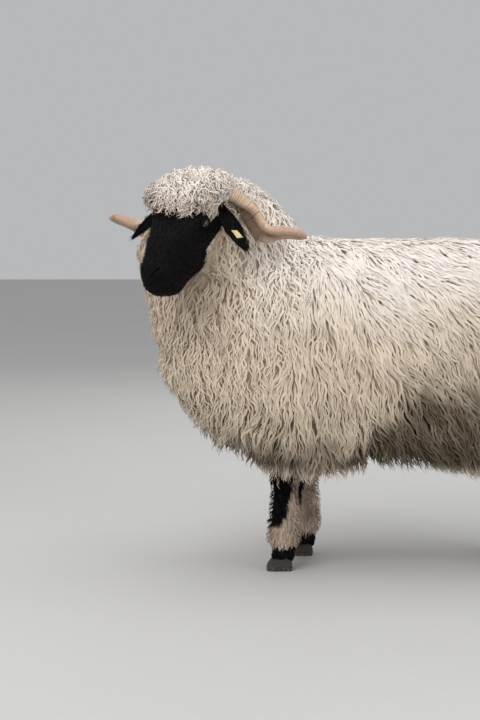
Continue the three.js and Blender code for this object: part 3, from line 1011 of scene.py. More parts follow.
@dataclass
class Skin:
    """One skin from nose to hooves, inside the solids by the depth of the coat."""

    body_voxel: float = 0.006
    head_voxel: float = 0.002
    depths: dict[str, float] = field(
        default_factory=lambda: {
            "trunk": 0.020, "neck": 0.022, "tail": 0.018, "forelock": 0.018, "head": 0.012, "lower_jaw": 0.012,
            "leg": 0.010, "foot": 0.0015,
        }
    )
    girth: float = 0.07  # radius of the head, along which its hair is measured
    hem_depth: float = 0.012  # more along the hem
    lowest: float = 0.014  # of the feet, above their soles
    thin_above: float = 0.24  # height over which long wool hides a coarser mesh
    thin_share: float = 0.35  # of the mesh that is left there
    hair: float = 1.6  # depth of the short coat of the face, millimetres
    presses: tuple[Press, ...] = (
        Press((284, 21, -58), 9, (2.0, 3.0, 1.0)),  # wing of the nostril
        Press((292, 0, -66), 8, (2.5, 0, 0), False),  # between the nostrils
        Press((282, 22, -92), 13, (1.5, 2.0, 0)),  # upper lip
        Press((284, 0, -120), 12, (2.5, 0, -1.5), False),  # chin
        Press((276, 20, -54), 6, (-2.5, -2.0, -1.0)),  # opening of the nostril
        Press((232, 24, -134), 34, (2.0, 4.0, -9.0)),  # hairy jaw
        Press((214, 45, -92), 20, (0, -3.5, 0)),  # behind the lips
        Press((96, 66, -3), 15, (0, 2.5, 4.0)),  # rim of the brow
        Press((132, 58, -44), 13, (0, -2.5, 0)),  # below the eye
        Press((150, 50, -72), 15, (0, 2.5, 0)),  # cheekbone
        Press((205, 33, -18), 16, (0, 2.5, 2.0)),  # edge of the nose
    )
    grooves: tuple[Groove, ...] = (
        Groove(((293, 6, -64), (287, 13, -57), (279, 20, -52), (270, 24.5, -52)), 1.9, 6.0, 1.3),  # nostril
        Groove(((297, 0, -70), (297, 0, -84), (297, 0, -98)), 1.6, 1.8, 0.3, False),  # split of the lip
        # the mouth
        Groove(((308, 0, -107), (270, 0, -105), (236, 0, -103), (214, 0, -99)), 1.9, 3.4, 0.9, level=True),
        Groove(((212, 40, -82), (196, 48, -96), (186, 50, -112)), 4.0, 1.4, 0.6),  # fold behind the mouth
    )
    lids: Lids = field(default_factory=Lids)
    fine_at: tuple[tuple[float, float, float], ...] = ((110, 65, -31), (285, 12, -60))  # eye and nostril
    fine_reach: float = 24.0

    def depth(self, points: Array) -> Array:
        """How far each point of the fused solids lies above the skin, by the node it is nearest to."""
        trees, depths = [], []
        for node in SOLIDS + HULLS:
            kind = "leg" if "leg" in node else "foot" if "foot" in node else node
            trees.append(tree_of(frame["nodes"][node].data))
            depths.append(self.depths[kind])
        gaps = np.array([[tree.find_nearest(point)[3] for tree in trees] for point in points])
        hem = self.hem_depth * ease(points[:, 2], 0.50, 0.38) * (points[:, 2] > 0.26)
        return np.array(depths)[gaps.argmin(1)] + hem

    def trunk_and_limbs(self) -> bpy.types.Object:
        """The skin of all but the face and ears."""
        piece = whole_body("skin", self.body_voxel)
        skin = Surface(piece.data)
        depth = skin.spread(self.depth(skin.points), 14)
        skin.sink(depth, 10)
        skin.points = skin.spread(skin.points, 2, 0.4)
        skin.points[:, 2] = np.maximum(skin.points[:, 2], self.lowest)
        skin.write()
        group = piece.vertex_groups.new(name="Woolly")
        group.add(np.nonzero(skin.points[:, 2] > self.thin_above)[0].tolist(), 1.0, "REPLACE")
        thin = piece.modifiers.new("Thin", "DECIMATE")
        thin.ratio = self.thin_share
        thin.vertex_group = group.name
        thin.use_collapse_triangulate = True
        return finished(piece)

    def face(self) -> bpy.types.Object:
        """The skin of the head, with lips, nostrils and lids."""
        solids = merged(["head", "lower_jaw", "eye_left", "eye_right"])
        piece = remeshed(ended(solids, "face"), self.head_voxel)
        for centre in self.fine_at:
            self.refine(piece, [np.array(centre) * (1, side, 1) for _, side in SIDES])
        skin = Surface(piece.data)
        skin.relax(16)
        skin.points -= skin.normals() * self.hair * MM
        local = HEAD.local(skin.points)
        for press in self.presses:
            local = press.apply(local)
        skin.points = HEAD.place(local)
        for groove in self.grooves:
            normals = skin.normals() @ HEAD.rows().T
            skin.points = HEAD.place(groove.apply(HEAD.local(skin.points), normals))
        skin.points = HEAD.place(self.lids.apply(HEAD.local(skin.points)))
        skin.write()
        return piece

    def refine(self, piece: bpy.types.Object, centres: Sequence[Array]) -> None:
        """Halves the mesh's edges near some points of the head.

        Args:
            piece: The object to refine.
            centres: Points in the head's axes.
        """
        made = bmesh.new()
        made.from_mesh(piece.data)
        local = HEAD.local(np.array([v.co for v in made.verts]))
        near = np.min([np.linalg.norm(local - c, axis=1) for c in centres], axis=0) < self.fine_reach
        made.verts.ensure_lookup_table()
        edges = [e for e in made.edges if near[e.verts[0].index] and near[e.verts[1].index]]
        bmesh.ops.subdivide_edges(made, edges=edges, cuts=1, use_grid_fill=True, smooth=0.0)
        bmesh.ops.triangulate(made, faces=[f for f in made.faces if len(f.verts) > 4])
        made.to_mesh(piece.data)
        made.free()

    def build(self) -> bpy.types.Object:
        """Fuses body, head and ears into one skin."""
        piece = self.trunk_and_limbs()
        log.info("skin of the body: %d points", len(piece.data.vertices))
        head = self.face()
        for name, side in SIDES:
            head = joined(head, EARS[side].build(f"ear_{name}"))
        log.info("skin of the head: %d points", len(head.data.vertices))
        piece = joined(piece, head)
        shade_smooth(piece)
        return renamed(piece, "skin")

    def dress(self, piece: bpy.types.Object) -> None:
        """Adds the markings and the material, and puts the skin in place of the flesh nodes."""
        skin = Surface(piece.data)
        MARKINGS.write(piece.data, skin.points, skin.points)
        local = HEAD.local(skin.points)
        head = np.stack([np.arctan2(local[:, 1], local[:, 2] + 80) * self.girth, local[:, 0] * MM], 1)
        rest = np.stack([skin.points[:, 0] + skin.points[:, 1], skin.points[:, 2]], 1)
        add_uv(piece.data, "Lie", np.where(local[:, :1] > 0, head, rest))
        piece.data.materials.clear()
        piece.data.materials.append(SkinFinish().dress("close_hair"))
        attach(piece, "root")
        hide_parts(*FLESH)


# ---- Horns, eyes, claws and tag ----


@dataclass(frozen=True)
class Horn:
    """An open corkscrew horn: back and down behind the ear, then out to the side. Head axes, millimetres."""

    side: int
    lift: float
    line: tuple[tuple[float, float, float], ...] = (
        (30, 14, -14), (14, 40, 0), (-5, 67, -18), (-18, 94, -57), (-14, 120, -92),
        (6, 144, -112), (26, 172, -114), (30, 204, -109), (28, 242, -108), (24, 284, -118),
    )
    base: float = 26.0
    tip: float = 13.5
    rings: int = 240
    sides: int = 28
    ridge: float = 6.5  # between growth rings

    def centre_line(self) -> Array:
        """A smooth line through the points, in equal steps, one for each ring."""
        points = np.array(self.line, float) * (1, self.side, 1)
        points[:, 2] += self.lift * np.array([0, 0, 0, 0, 0, 0, 0, 0.1, 0.5, 1.0])
        ends = np.concatenate([2 * points[:1] - points[1:2], points, 2 * points[-1:] - points[-2:-1]])
        fine = []
        for a, b, c, d in zip(ends, ends[1:], ends[2:], ends[3:]):
            t = np.linspace(0, 1, 40, endpoint=False)[:, None]
            square, cube = 2 * a - 5 * b + 4 * c - d, 3 * b - a - 3 * c + d
            fine.append(0.5 * (2 * b + (c - a) * t + square * t**2 + cube * t**3))
        fine = np.concatenate(fine + [points[-1:]])
        run = np.concatenate([[0], np.linalg.norm(np.diff(fine, axis=0), axis=1).cumsum()])
        even = np.linspace(0, run[-1], self.rings + 1)
        return np.stack([np.interp(even, run, fine[:, k]) for k in range(3)], 1)

    def radius(self) -> Array:
        """Radius at each ring, without the rounding of the ends."""
        s = np.linspace(0, 1, self.rings + 1)
        flare = 1 + 0.10 * np.exp(-(((s - 0.66) / 0.07) ** 2))
        return (self.base + (self.tip - self.base) * s**1.3) * flare

    def build(self, name: str) -> bpy.types.Object:
        """Carries a ball along the line and gives it a keel, a hollow side and growth rings.

        Args:
            name: Name of the piece.

        Returns:
            The horn.
        """
        made = bmesh.new()
        bmesh.ops.create_uvsphere(made, u_segments=self.sides, v_segments=self.rings, radius=1.0)
        ball = np.array([v.co for v in made.verts])
        share = np.arccos(np.clip(ball[:, 2], -1, 1)) / math.pi
        ring = np.rint(share * self.rings).astype(int)
        angle = np.arctan2(ball[:, 1], ball[:, 0])

        line, radius = self.centre_line(), self.radius()
        ahead = unit(np.gradient(line, axis=0))
        s = np.linspace(0, 1, self.rings + 1)
        inner = np.array([0.80, -0.35 * self.side, -0.05])
        inner = inner + np.outer(ease(s, 0.32, 0.52), (0.0, 0.42 * self.side, 0.85))
        inner = inner + np.outer(ease(s, 0.64, 0.80), (0.07, 0.23 * self.side, -1.13))
        inner = unit(inner - ahead * dot(inner, ahead))
        across = np.cross(ahead, inner)
        length = np.linalg.norm(np.diff(line, axis=0), axis=1).sum()
        hollow = ease(s, 0.10, 0.35)
        beat = s * length / self.ridge * math.pi + ripple(line * MM, 0.02, 41) * 1.6
        ridges = (np.abs(np.sin(beat)) ** 0.7 - 0.5) * (0.75 - 0.6 * ease(s, 0.55, 0.85))
        close = np.clip(np.minimum(s / 0.05, (1 - s) / 0.10), 0, 1)
        close = np.sqrt(1 - (1 - close) ** 2)

        bend = ease(s, 0.34, 0.46) * ease(s, 0.74, 0.64)
        form = 1 - ((0.44 + 0.38 * bend) * hollow)[ring] * np.exp(-((angle / 0.72) ** 2))
        form = form + ((0.11 + 0.12 * bend) * hollow)[ring] * np.exp(-(((np.abs(angle) - 1.15) / 0.3) ** 2))
        form = form - 0.05 * np.cos(2 * angle)
        lumpy = 1 + 0.02 * ripple(line[ring] * MM + inner[ring] * np.cos(angle)[:, None] * 0.02, 0.03, 42)
        reach = (radius[ring] * form * lumpy + ridges[ring]) * close[ring]
        droop = np.outer((1 - close[ring]) * (share > 0.5) * 4.0, (0.5, 0, -0.85))
        local = line[ring] + inner[ring] * (reach * np.cos(angle))[:, None]
        local = local + across[ring] * (reach * np.sin(angle))[:, None]
        piece = shaped(made, HEAD.place(local + droop), name)
        add_uv(piece.data, "Growth", np.stack([angle / TURN, share], 1))
        # painted shade on the hollow side of the curl
        lean = angle * self.side - 0.60 * bend[ring]
        dark = np.exp(-((lean / (0.75 + 0.30 * bend[ring])) ** 2)) * hollow[ring]
        dark = dark * (1 - 0.75 * ease(share, 0.72, 0.84))
        # the furrows between rings, for the bump and for painted shade
        furrow = (1 - np.abs(np.sin(beat)) ** 0.7)[ring] * (0.6 + 0.4 * ripple(line[ring] * MM, 0.01, 43))
        store(piece.data, Inside=dark, Furrow=furrow)
        return piece


HORNS = (Horn(1, 0.0), Horn(-1, 34.0))


@dataclass(frozen=True)
class Eye:
    """An eyeball with a slight bulge over the iris. Head axes, millimetres."""

    centre: tuple[float, float, float] = (110, 65, -31)
    radius: float = 14.0
    bulge: float = 0.9

    def build(self, name: str, side: int, axes: Array) -> bpy.types.Object:
        """Makes the eye, facing along the third of the axes.

        Args:
            name: Name of the piece.
            side: 1 for the left eye, -1 for the right.
            axes: Rows: along the lid slit, up, and out of the head.

        Returns:
            The eye, with millimetres from the middle of the iris as its UV map.
        """
        made = bmesh.new()
        bmesh.ops.create_uvsphere(made, u_segments=36, v_segments=40, radius=self.radius)
        ball = np.array([v.co for v in made.verts])
        off = np.arccos(np.clip(ball[:, 2] / self.radius, -1, 1)) * self.radius
        ball *= (1 + self.bulge / self.radius * ease(off, 10, 4))[:, None]
        flat = unit(ball * (1, 1, 0) + 1e-9) * off[:, None]
        piece = shaped(made, HEAD.place(np.array(self.centre) * (1, side, 1) + ball @ axes), name)
        add_uv(piece.data, "Iris", flat[:, :2])
        return piece


@dataclass(frozen=True)
class Claws:
    """The eight horn capsules of the hooves."""

    voxel: float = 0.0011
    growth: float = 0.0055  # between growth lines
    relief: float = 0.00022

    def build(self, name: str) -> bpy.types.Object:
        """Rounds the solid claw, keeps its sole flat and marks it with growth lines."""
        piece = remeshed(ended(merged([name]), name), self.voxel)
        form = Surface(piece.data)
        form.relax(8)
        wall = ease(form.points[:, 2], 0.001, 0.006)
        beat = form.points[:, 2] / self.growth * 2 * math.pi + ripple(form.points, 0.02, 51) * 1.2
        form.points += form.normals() * (self.relief * np.sin(beat) * wall)[:, None]
        form.points[:, 2] = np.maximum(form.points[:, 2], 0.0)
        form.write()
        shade_smooth(piece)
        return renamed(piece, f"{name}_horn")


@dataclass(frozen=True)
class EarTag:
    """A moulded plate on a stud through the left ear. Millimetres."""

    centre: tuple[float, float, float] = (72, 124, -86)
    outline: tuple[tuple[float, float], ...] = ((-11, 13), (2, 9), (11, -13), (-5, -9))
    thickness: float = 2.0
    stud_radius: float = 3.0
    stud_depth: float = 14.0
    button: float = 1.2  # height of the stud's button over the plate
    soft_edge: float = 0.7
    button_edge: float = 0.8
    axes: tuple[tuple[float, float, float], ...] = ((-0.62, 0.78, -0.04), (-0.45, -0.4, 0.8), (0.6, 0.5, 0.6))

    def build(self, name: str) -> bpy.types.Object:
        """Makes plate, button and stud as one closed piece."""
        made = bmesh.new()
        plate = made.faces.new([made.verts.new((x, y, 0.0)) for x, y in self.outline])
        grown = bmesh.ops.extrude_face_region(made, geom=[plate])["geom"]
        raised = [v for v in grown if isinstance(v, bmesh.types.BMVert)]
        bmesh.ops.translate(made, verts=raised, vec=(0, 0, self.thickness))
        self.round_off(made, made.edges, self.soft_edge)
        bmesh.ops.recalc_face_normals(made, faces=made.faces)
        body = ended(made, name)

        made = bmesh.new()
        rise = self.stud_depth + self.thickness + self.button
        bmesh.ops.create_cone(
            made, cap_ends=True, segments=24, radius1=self.stud_radius, radius2=self.stud_radius, depth=rise
        )
        bmesh.ops.translate(made, verts=made.verts, vec=(0, 0, self.thickness + self.button - rise / 2))
        level = [e for e in made.edges if abs(e.verts[0].co.z - e.verts[1].co.z) < 1e-6]
        self.round_off(made, level, self.button_edge)
        piece = joined(body, ended(made, "stud"))

        form = Surface(piece.data)
        form.points = HEAD.place(np.array(self.centre) + form.points @ unit(np.array(self.axes)))
        form.write()
        made = bmesh.new()
        made.from_mesh(piece.data)
        bmesh.ops.recalc_face_normals(made, faces=made.faces)
        made.to_mesh(piece.data)
        made.free()
        return renamed(piece, name)

    def round_off(self, made: bmesh.types.BMesh, edges: Iterable[bmesh.types.BMEdge], offset: float) -> None:
        """Rounds edges."""
        bmesh.ops.bevel(
            made, geom=list(edges), offset=offset, segments=3, profile=0.5, affect="EDGES", material=-1
        )


@dataclass
class HardParts:
    """Everything that stays apart from the skin."""

    eye: Eye = field(default_factory=Eye)
    claws: Claws = field(default_factory=Claws)
    tag: EarTag = field(default_factory=EarTag)

    def build(self, lids: Lids) -> None:
        """Makes and dresses horns, eyes, claws and tag.

        Args:
            lids: The lids, whose axes the eyes share.
        """
        horn, wet, hoof = HornFinish().dress("horn"), EyeFinish().dress("eye"), ClawFinish().dress("claw")
        for (name, side), shape in zip(SIDES, HORNS):
            self.settle(shape.build(f"horn_{name}_ringed"), f"horn_{name}", horn)
            self.settle(self.eye.build(f"eye_{name}_ball", side, lids.axes(side)), f"eye_{name}", wet)
        self.settle(self.tag.build("ear_tag_plate"), "ear_tag", TagFinish().dress("tag"))
        for end in ("fore", "hind"):
            for name, _ in SIDES:
                for place in ("outer", "inner"):
                    node = f"{end}claw_{name}_{place}"
                    self.settle(self.claws.build(node), node, hoof)

    def settle(self, piece: bpy.types.Object, node: str, material: bpy.types.Material) -> None:
        """Dresses a piece and puts it in place of its CAD node."""
        piece.data.materials.clear()
        piece.data.materials.append(material)
        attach(piece, "root")
        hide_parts(node)
        log.info("%s: %d faces", piece.name, len(piece.data.polygons))


MARKINGS = Markings()


# ---- The coat ----


class Zone(Enum):
    """Regions of the coat, each with its own kind of lock."""

    FLEECE = 1
    BACK = 7
    MANE = 2
    CROWN = 3
    CHEEK = 8
    TAIL = 4
    LEGS = 5
    FACE = 6


@dataclass(frozen=True)
class Lock:
    """One kind of lock. Lengths are in metres."""

    spacing: float  # between roots
    length: float
    width: float
    segments: int
    wave: float = 0.0  # how far the crimp swings to each side
    wavelength: float = 0.03
    curl: float = 0.0  # how far the crimp swings in and out, as a share of wave
    clump: float = 0.0  # how far tips gather, from 0 to 1
    clump_spacing: float = 0.03
    tip: float = 0.0  # how far below the outline the tips lie
    flat: float = 0.42  # thickness as a share of width
    soft: float = 0.62  # how far the shading takes the form of the whole coat and not of the lock
    loose: float = 0.15  # how much directions differ
    rise: float = 0.55  # share of its length over which a lock comes up from the skin
    stray: float = 0.0  # share of locks that leave their clump
    swirl: float = 0.0  # how far neighbouring locks turn together
    uneven: float = 0.0008  # how much the depth of the tips differs
    under: float = 0.005  # how far a lock dives under its neighbours before its tip
    wisps: float = 0.0  # share of locks that stand out of the coat

    def marks(self) -> Array:
        """Places along the lock, from 0 to 1, where its mesh has a ring: closer together towards the tip."""
        return (np.arange(self.segments + 1) / self.segments) ** 0.68


LOCKS = {
    Zone.BACK: Lock(
        0.0084, 0.094, 0.0055, 8, 0.0016, 0.038, 0.5, 0.30, 0.028, 0.003,
        stray=0.10, loose=0.11, swirl=0.26, flat=0.34, soft=0.88, uneven=0.0015, rise=0.30, wisps=0.015,
    ),
    Zone.FLEECE: Lock(
        0.0104, 0.120, 0.0055, 11, 0.0028, 0.045, 0.6, 0.62, 0.030, 0.003,
        stray=0.16, loose=0.12, swirl=0.25, flat=0.40, soft=0.82, uneven=0.0030, rise=0.32,
    ),
    Zone.MANE: Lock(
        0.0098, 0.090, 0.0054, 11, 0.0038, 0.040, 0.8, 0.50, 0.026, 0.003,
        stray=0.16, loose=0.15, swirl=0.30, flat=0.40, soft=0.84, uneven=0.0030, rise=0.32, wisps=0.02,
    ),
    Zone.CROWN: Lock(
        0.0050, 0.062, 0.0040, 15, 0.0052, 0.026, 1.0, 0.55, 0.020, 0.002,
        stray=0.16, loose=0.25, swirl=0.4, rise=0.35, soft=0.84, uneven=0.0030, wisps=0.06,
    ),
    Zone.CHEEK: Lock(
        0.0056, 0.038, 0.0036, 9, 0.0036, 0.018, 1.0, 0.45, 0.014, 0.001,
        stray=0.20, loose=0.30, swirl=0.5, rise=0.5, soft=0.70, uneven=0.0020,
    ),
    Zone.TAIL: Lock(
        0.0110, 0.090, 0.0056, 10, 0.0032, 0.034, 0.7, 0.6, 0.030, 0.003,
        stray=0.1, swirl=0.2, uneven=0.0030, rise=0.4,
    ),
    Zone.LEGS: Lock(
        0.0070, 0.018, 0.0038, 4, 0.0010, 0.016, 1.0, 0.4, 0.012, 0.001,
        loose=0.30, rise=0.7, soft=0.72,
    ),
    Zone.FACE: Lock(
        0.0052, 0.0100, 0.0016, 3, 0.0, 0.02, 0.0, 0.3, 0.012, -0.0024,
        loose=0.25, rise=0.9, soft=0.7,
    ),
}
WOOLLY = (Zone.BACK, Zone.FLEECE, Zone.MANE, Zone.TAIL)
COAT_PIECES = (  # name, zone, seed, number of pieces
    ("back", Zone.BACK, 20, 2), ("fleece", Zone.FLEECE, 21, 4), ("mane", Zone.MANE, 22, 2),
    ("crown", Zone.CROWN, 23, 2), ("cheek_wool", Zone.CHEEK, 27, 1), ("tail_wool", Zone.TAIL, 24, 1),
    ("leg_wool", Zone.LEGS, 25, 1), ("face_hair", Zone.FACE, 26, 1),
)


@dataclass
class Roots:
    """Where locks grow: places on the skin and the normals there."""

    places: Array
    normals: Array

    def pick(self, chosen: Array) -> "Roots":
        """Some of the roots."""
        return Roots(self.places[chosen], self.normals[chosen])


@dataclass
class Strands:
    """Finished middle lines of locks, two directions across them at each point, and a shade for each lock."""

    lines: Array
    side: Array
    out: Array
    tone: Array

    def pick(self, chosen: Array) -> "Strands":
        """Some of the strands."""
        return Strands(self.lines[chosen], self.side[chosen], self.out[chosen], self.tone[chosen])


class Coat:
    """Grows locks on the skin out to the outline of the solids."""

    outline_voxel: float = 0.008
    crown_middle: tuple[float, float, float] = (20.0, 0.0, 30.0)  # of the whorl, in the head's axes
    root_depth: float = 0.003  # how far a lock starts under the skin
    patch: float = 0.003  # width of a lock's place on the unwrapped skin
    belly_share: float = 0.55  # of the fleece's locks that are left on the belly
    back_above: float = 0.66  # height at which the finer wool of the back begins
    tail_from: float = 0.572  # x behind which the wool is the tail's
    tail_half: float = 0.04
    hem_step: float = 0.03  # between the stations at which the hem's height is measured
    fan_from: tuple[float, float, float] = (-0.19, 0.0, 1.02)  # where the lie of the fleece spreads from
    no_hem: float = 0.42  # the hem's height where no wool hangs
    crowding: float = 2.6  # roots tried for each one that is wanted

    def __init__(self, skin: bpy.types.Object) -> None:
        """Reads the skin and fuses the woolly solids into the coat's outline.

        Args:
            skin: The finished skin.
        """
        self.skin = Surface(skin.data)
        self.skin_normals = self.skin.normals()
        middles, cross = self.skin.faces()
        self.areas = np.linalg.norm(cross, axis=1) / 2
        self.zones = self.zone_of(middles)
        outer = whole_body("outline", self.outline_voxel)
        form = Surface(outer.data)
        form.relax(6)
        form.write()
        self.outline = Outline(outer)
        self.close = Outline(skin)
        self.hem_at, self.hem_height = self.measure_hem(form.points)
        bpy.data.objects.remove(outer)
        self.pieces: list[bpy.types.Object] = []

    def surface(self, zone: Zone) -> Outline:
        """What a zone's tips follow: the solids' outline, or on the face the skin itself."""
        return self.close if zone is Zone.FACE else self.outline

    def zone_of(self, places: Array) -> Array:
        """The zone of each place, as its number."""
        local = HEAD.local(places)
        found = np.full(len(places), Zone.FLEECE.value)
        x, z = places[:, 0], places[:, 2]
        neck = on_neck(places)
        found[(z + 0.025 * ripple(places, 0.05, 31) > self.back_above) & ~neck] = Zone.BACK.value
        found[neck] = Zone.MANE.value
        behind = (x > self.tail_from) & (z < 0.77)
        found[behind & (np.abs(places[:, 1] - MIDLINE) < self.tail_half)] = Zone.TAIL.value
        found[z < LEG_TOP] = Zone.LEGS.value
        head = (local[:, 0] > -75) & (local[:, 0] < 170) & (np.abs(local[:, 1]) < HEAD_HALF)
        found[head & (local[:, 2] > -62)] = Zone.CROWN.value
        ahead = local[:, 0] - MARKINGS.face_edge(local)
        cheek = (np.abs(local[:, 1]) < 116) & (local[:, 2] < -24) & (local[:, 2] > -185)
        found[cheek & (ahead > -50) & (ahead < 8)] = Zone.CHEEK.value
        found[(MARKINGS.black(places) > 0.5) & (z > 0.5)] = Zone.FACE.value
        return found

    def measure_hem(self, points: Array) -> tuple[Array, Array]:
        """Height of the lowest wool at stations along the body."""
        wool = points[(points[:, 2] > 0.20) & (np.abs(points[:, 1] - MIDLINE) > 0.135)]
        stations = np.arange(-0.56, 0.66, self.hem_step)
        slices = [wool[np.abs(wool[:, 0] - station) < self.hem_step, 2] for station in stations]
        return stations, np.array([heights.min() if len(heights) else self.no_hem for heights in slices])

    def scatter(self, zone: Zone, spacing: float, seed: int) -> Roots:
        """Spreads roots over a zone, about evenly.

        Args:
            zone: The zone.
            spacing: Mean distance between roots.
            seed: Seed of the scatter.

        Returns:
            The roots.
        """
        rng = np.random.default_rng(seed)
        mine = np.nonzero(self.zones == zone.value)[0]
        total = self.areas[mine].sum()
        count = int(total / spacing**2 * self.crowding)
        picked = np.searchsorted(np.cumsum(self.areas[mine]) / total, rng.random(count))
        picked = mine[picked.clip(0, len(mine) - 1)]
        r, s = np.sqrt(rng.random(count)), rng.random(count)
        share = np.stack([1 - r, r * (1 - s), r * s], 1)
        corner = self.skin.triangles[picked]
        places = (self.skin.points[corner] * share[..., None]).sum(1)
        normals = unit((self.skin_normals[corner] * share[..., None]).sum(1))
        return Roots(places, normals).pick(np.sort(first_in_cells(places, spacing * 1.02)))

    def flow(self, zone: Zone, places: Array, normals: Array) -> Array:
        """Direction in which the coat lies, before it is laid along the surface."""
        down = np.array([0.0, 0.0, -1.0])
        side = np.tanh((places[:, 1:2] - MIDLINE) / 0.07) * np.array([[0.0, 1.0, 0.0]])
        if zone in (Zone.FLEECE, Zone.BACK):
            fan = places - np.array(self.fan_from)
            fan[:, 1] = 0
            rear = ease(places[:, 0:1], 0.05, 0.5)
            fan[:, 0:1] *= 1 - 0.85 * rear
            top = ease(normals[:, 2:3], 0.55, 0.95)
            return unit(fan) + side * top * 1.4 + np.array([[0.35, 0, 0]]) * top
        if zone in (Zone.MANE, Zone.CHEEK, Zone.TAIL, Zone.LEGS):
            away = unit((places - np.array([-0.40, 0.0, 0.9])) * (1, 1, 0))
            return down + 0.25 * away * (zone is Zone.MANE)
        local = HEAD.local(places)
        if zone is Zone.CROWN:
            away = local - np.array(self.crown_middle)
            far = np.linalg.norm(away * (1, 1, 0.3), axis=1)[:, None]
            whorl = np.stack([-away[:, 1], away[:, 0], 0 * away[:, 0]], 1) / np.maximum(far, 1)
            whorl = whorl * np.exp(-((far / 38) ** 2))
            return HEAD.turn(unit(away) * np.tanh(far / 45) + whorl) + 0.25 * down
        back = HEAD.turn(np.array([[-1.0, 0.0, -0.25]])).repeat(len(places), 0)
        for ear in EARS.values():
            middle = ear.root_point() + ear.direction() * ear.length * 0.5
            near = (np.linalg.norm(local - middle, axis=1) < 78) & (local[:, 1] * ear.side > 72)
            back[near] = HEAD.turn(ear.direction())
        return back

    def paths(self, zone: Zone, roots: Roots, lock: Lock, rng: np.random.Generator) -> Array:
        """Lays each lock's middle line from its root out to the outline and along it.

        Args:
            zone: The zone.
            roots: The roots.
            lock: The kind of lock.
            rng: Source of chance.

        Returns:
            Points, indexed by lock and by place along it.
        """
        count = len(roots.places)
        length = lock.length * rng.uniform(0.72, 1.18, (count, 1))
        if zone is Zone.FACE:
            local = HEAD.local(roots.places)
            length = length * (1 + 0.9 * ease(local[:, :1], 175, 135) + 0.7 * ease(local[:, 2:], -105, -130))
        if zone is Zone.FLEECE:
            belly = ease(roots.normals[:, 2:3], -0.35, -0.8)
            length = length * (1 - 0.45 * belly)
        points = [roots.places - roots.normals * self.root_depth]
        surface, marks = self.surface(zone), lock.marks()
        place, normal = surface.nearest(roots.places)
        depth = np.maximum(dot(place - roots.places, normal), 0.0005)
        tip = lock.tip + rng.normal(0, lock.uneven, (count, 1))
        wisp = (rng.random((count, 1)) < lock.wisps) * rng.uniform(0.006, 0.015, (count, 1))
        wander = rng.normal(0, lock.loose, (count, 3))
        for t, share in zip(marks[1:], np.diff(marks)):
            under = np.clip(-normal[:, 2:3] * 1.5 - 0.2, 0, 1) * (zone in WOOLLY)
            way = self.flow(zone, points[-1], normal)
            way = way / np.maximum(np.linalg.norm(way, axis=1, keepdims=True), 0.6)
            way = way + wander + swirl(points[-1]) * lock.swirl
            way = unit(way - normal * dot(way, normal) * (1 - 0.8 * under))
            step = points[-1] + way * length * share
            place, normal = surface.nearest(step)
            inside = dot(place - step, normal)
            up = ease(np.array(t), 0.0, lock.rise)
            dive = lock.under * (1 - t) * (zone in WOOLLY) - wisp * t**2
            wanted = depth * (1 - up) + (tip + dive) * up
            points.append(step + normal * (inside - wanted) * (1 - 0.9 * under))
        return np.stack(points, 1)

    def barred(self, zone: Zone, lines: Array, rng: np.random.Generator) -> Array:
        """Tells which points lie where no lock should: below the hem, on the face, in horn or ear."""
        flat = lines.reshape(-1, 3)
        local = HEAD.local(flat)
        each = lines.shape[1]
        wrong = np.zeros(len(flat), bool)
        if zone in WOOLLY:
            floor = np.interp(lines[:, 0, 0], self.hem_at, self.hem_height) - 0.004
            floor = floor - rng.uniform(-0.012, 0.010, len(lines))
            wrong |= flat[:, 2] < np.repeat(floor, each)
            wrong |= MARKINGS.parting(flat, 0.010) > 0.62
        if zone in (Zone.MANE, Zone.CHEEK, Zone.CROWN):
            beyond = rng.normal(11, 6, len(lines)) if zone is Zone.CROWN else rng.normal(2, 3, len(lines))
            on_head = (np.abs(local[:, 1]) < HEAD_HALF) & (local[:, 2] > -190) & (local[:, 2] < 80)
            wrong |= on_head & (local[:, 0] - MARKINGS.face_edge(local) > np.repeat(beyond, each))
            for ear in EARS.values():
                wrong |= ear.holds(local) > 0.5
            for horn in HORNS:
                line, radius = horn.centre_line(), horn.radius()
                for i in range(len(line) // 7, len(line), 8):
                    wrong |= np.linalg.norm(local - line[i], axis=1) < radius[i] - 1.5
        return wrong.reshape(len(lines), each)

    def trimmed(self, lines: Array, wrong: Array) -> Array:
        """Ends each lock before its first barred point."""
        wrong[:, 0] = False
        each = lines.shape[1]
        first = np.where(wrong.any(1), wrong.argmax(1), each - 1)
        reach = np.maximum(first, each * 0.3) / (each - 1)
        at = np.linspace(0, 1, each)[None] * reach[:, None] * (each - 1)
        low = np.clip(np.floor(at).astype(int), 0, each - 2)
        part = (at - low)[..., None]
        rows = np.arange(len(lines))[:, None]
        return lines[rows, low] * (1 - part) + lines[rows, low + 1] * part

    def clumped(self, lines: Array, roots: Roots, lock: Lock, rng: np.random.Generator) -> tuple[Array, Array]:
        """Draws locks towards a few leaders.

        Args:
            lines: Middle lines of the locks.
            roots: Their roots.
            lock: The kind of lock.
            rng: Source of chance.

        Returns:
            The gathered lines, and the number of each lock's leader.
        """
        leaders = first_in_cells(roots.places, lock.clump_spacing)
        tree = KDTree(len(leaders))
        for i, leader in enumerate(leaders):
            tree.insert(lines[leader, 2], i)
        tree.balance()
        jitter = rng.normal(0, lock.clump_spacing * 0.16, (len(lines), 3))
        mine = np.array([tree.find(point)[1] for point in lines[:, 2] + jitter])
        follow = rng.random(len(lines)) >= lock.stray
        share = lock.clump * ease(lock.marks(), 0.1, 1.0)[None, :, None]
        share = share * np.where(follow, 1.0, 0.15)[:, None, None] * rng.uniform(0.7, 1.1, (len(lines), 1, 1))
        lead = lines[leaders[mine]]
        keep = (lines[:, :1] - lead[:, :1]) * 0.12
        return lines * (1 - share) + (lead + keep) * share, mine

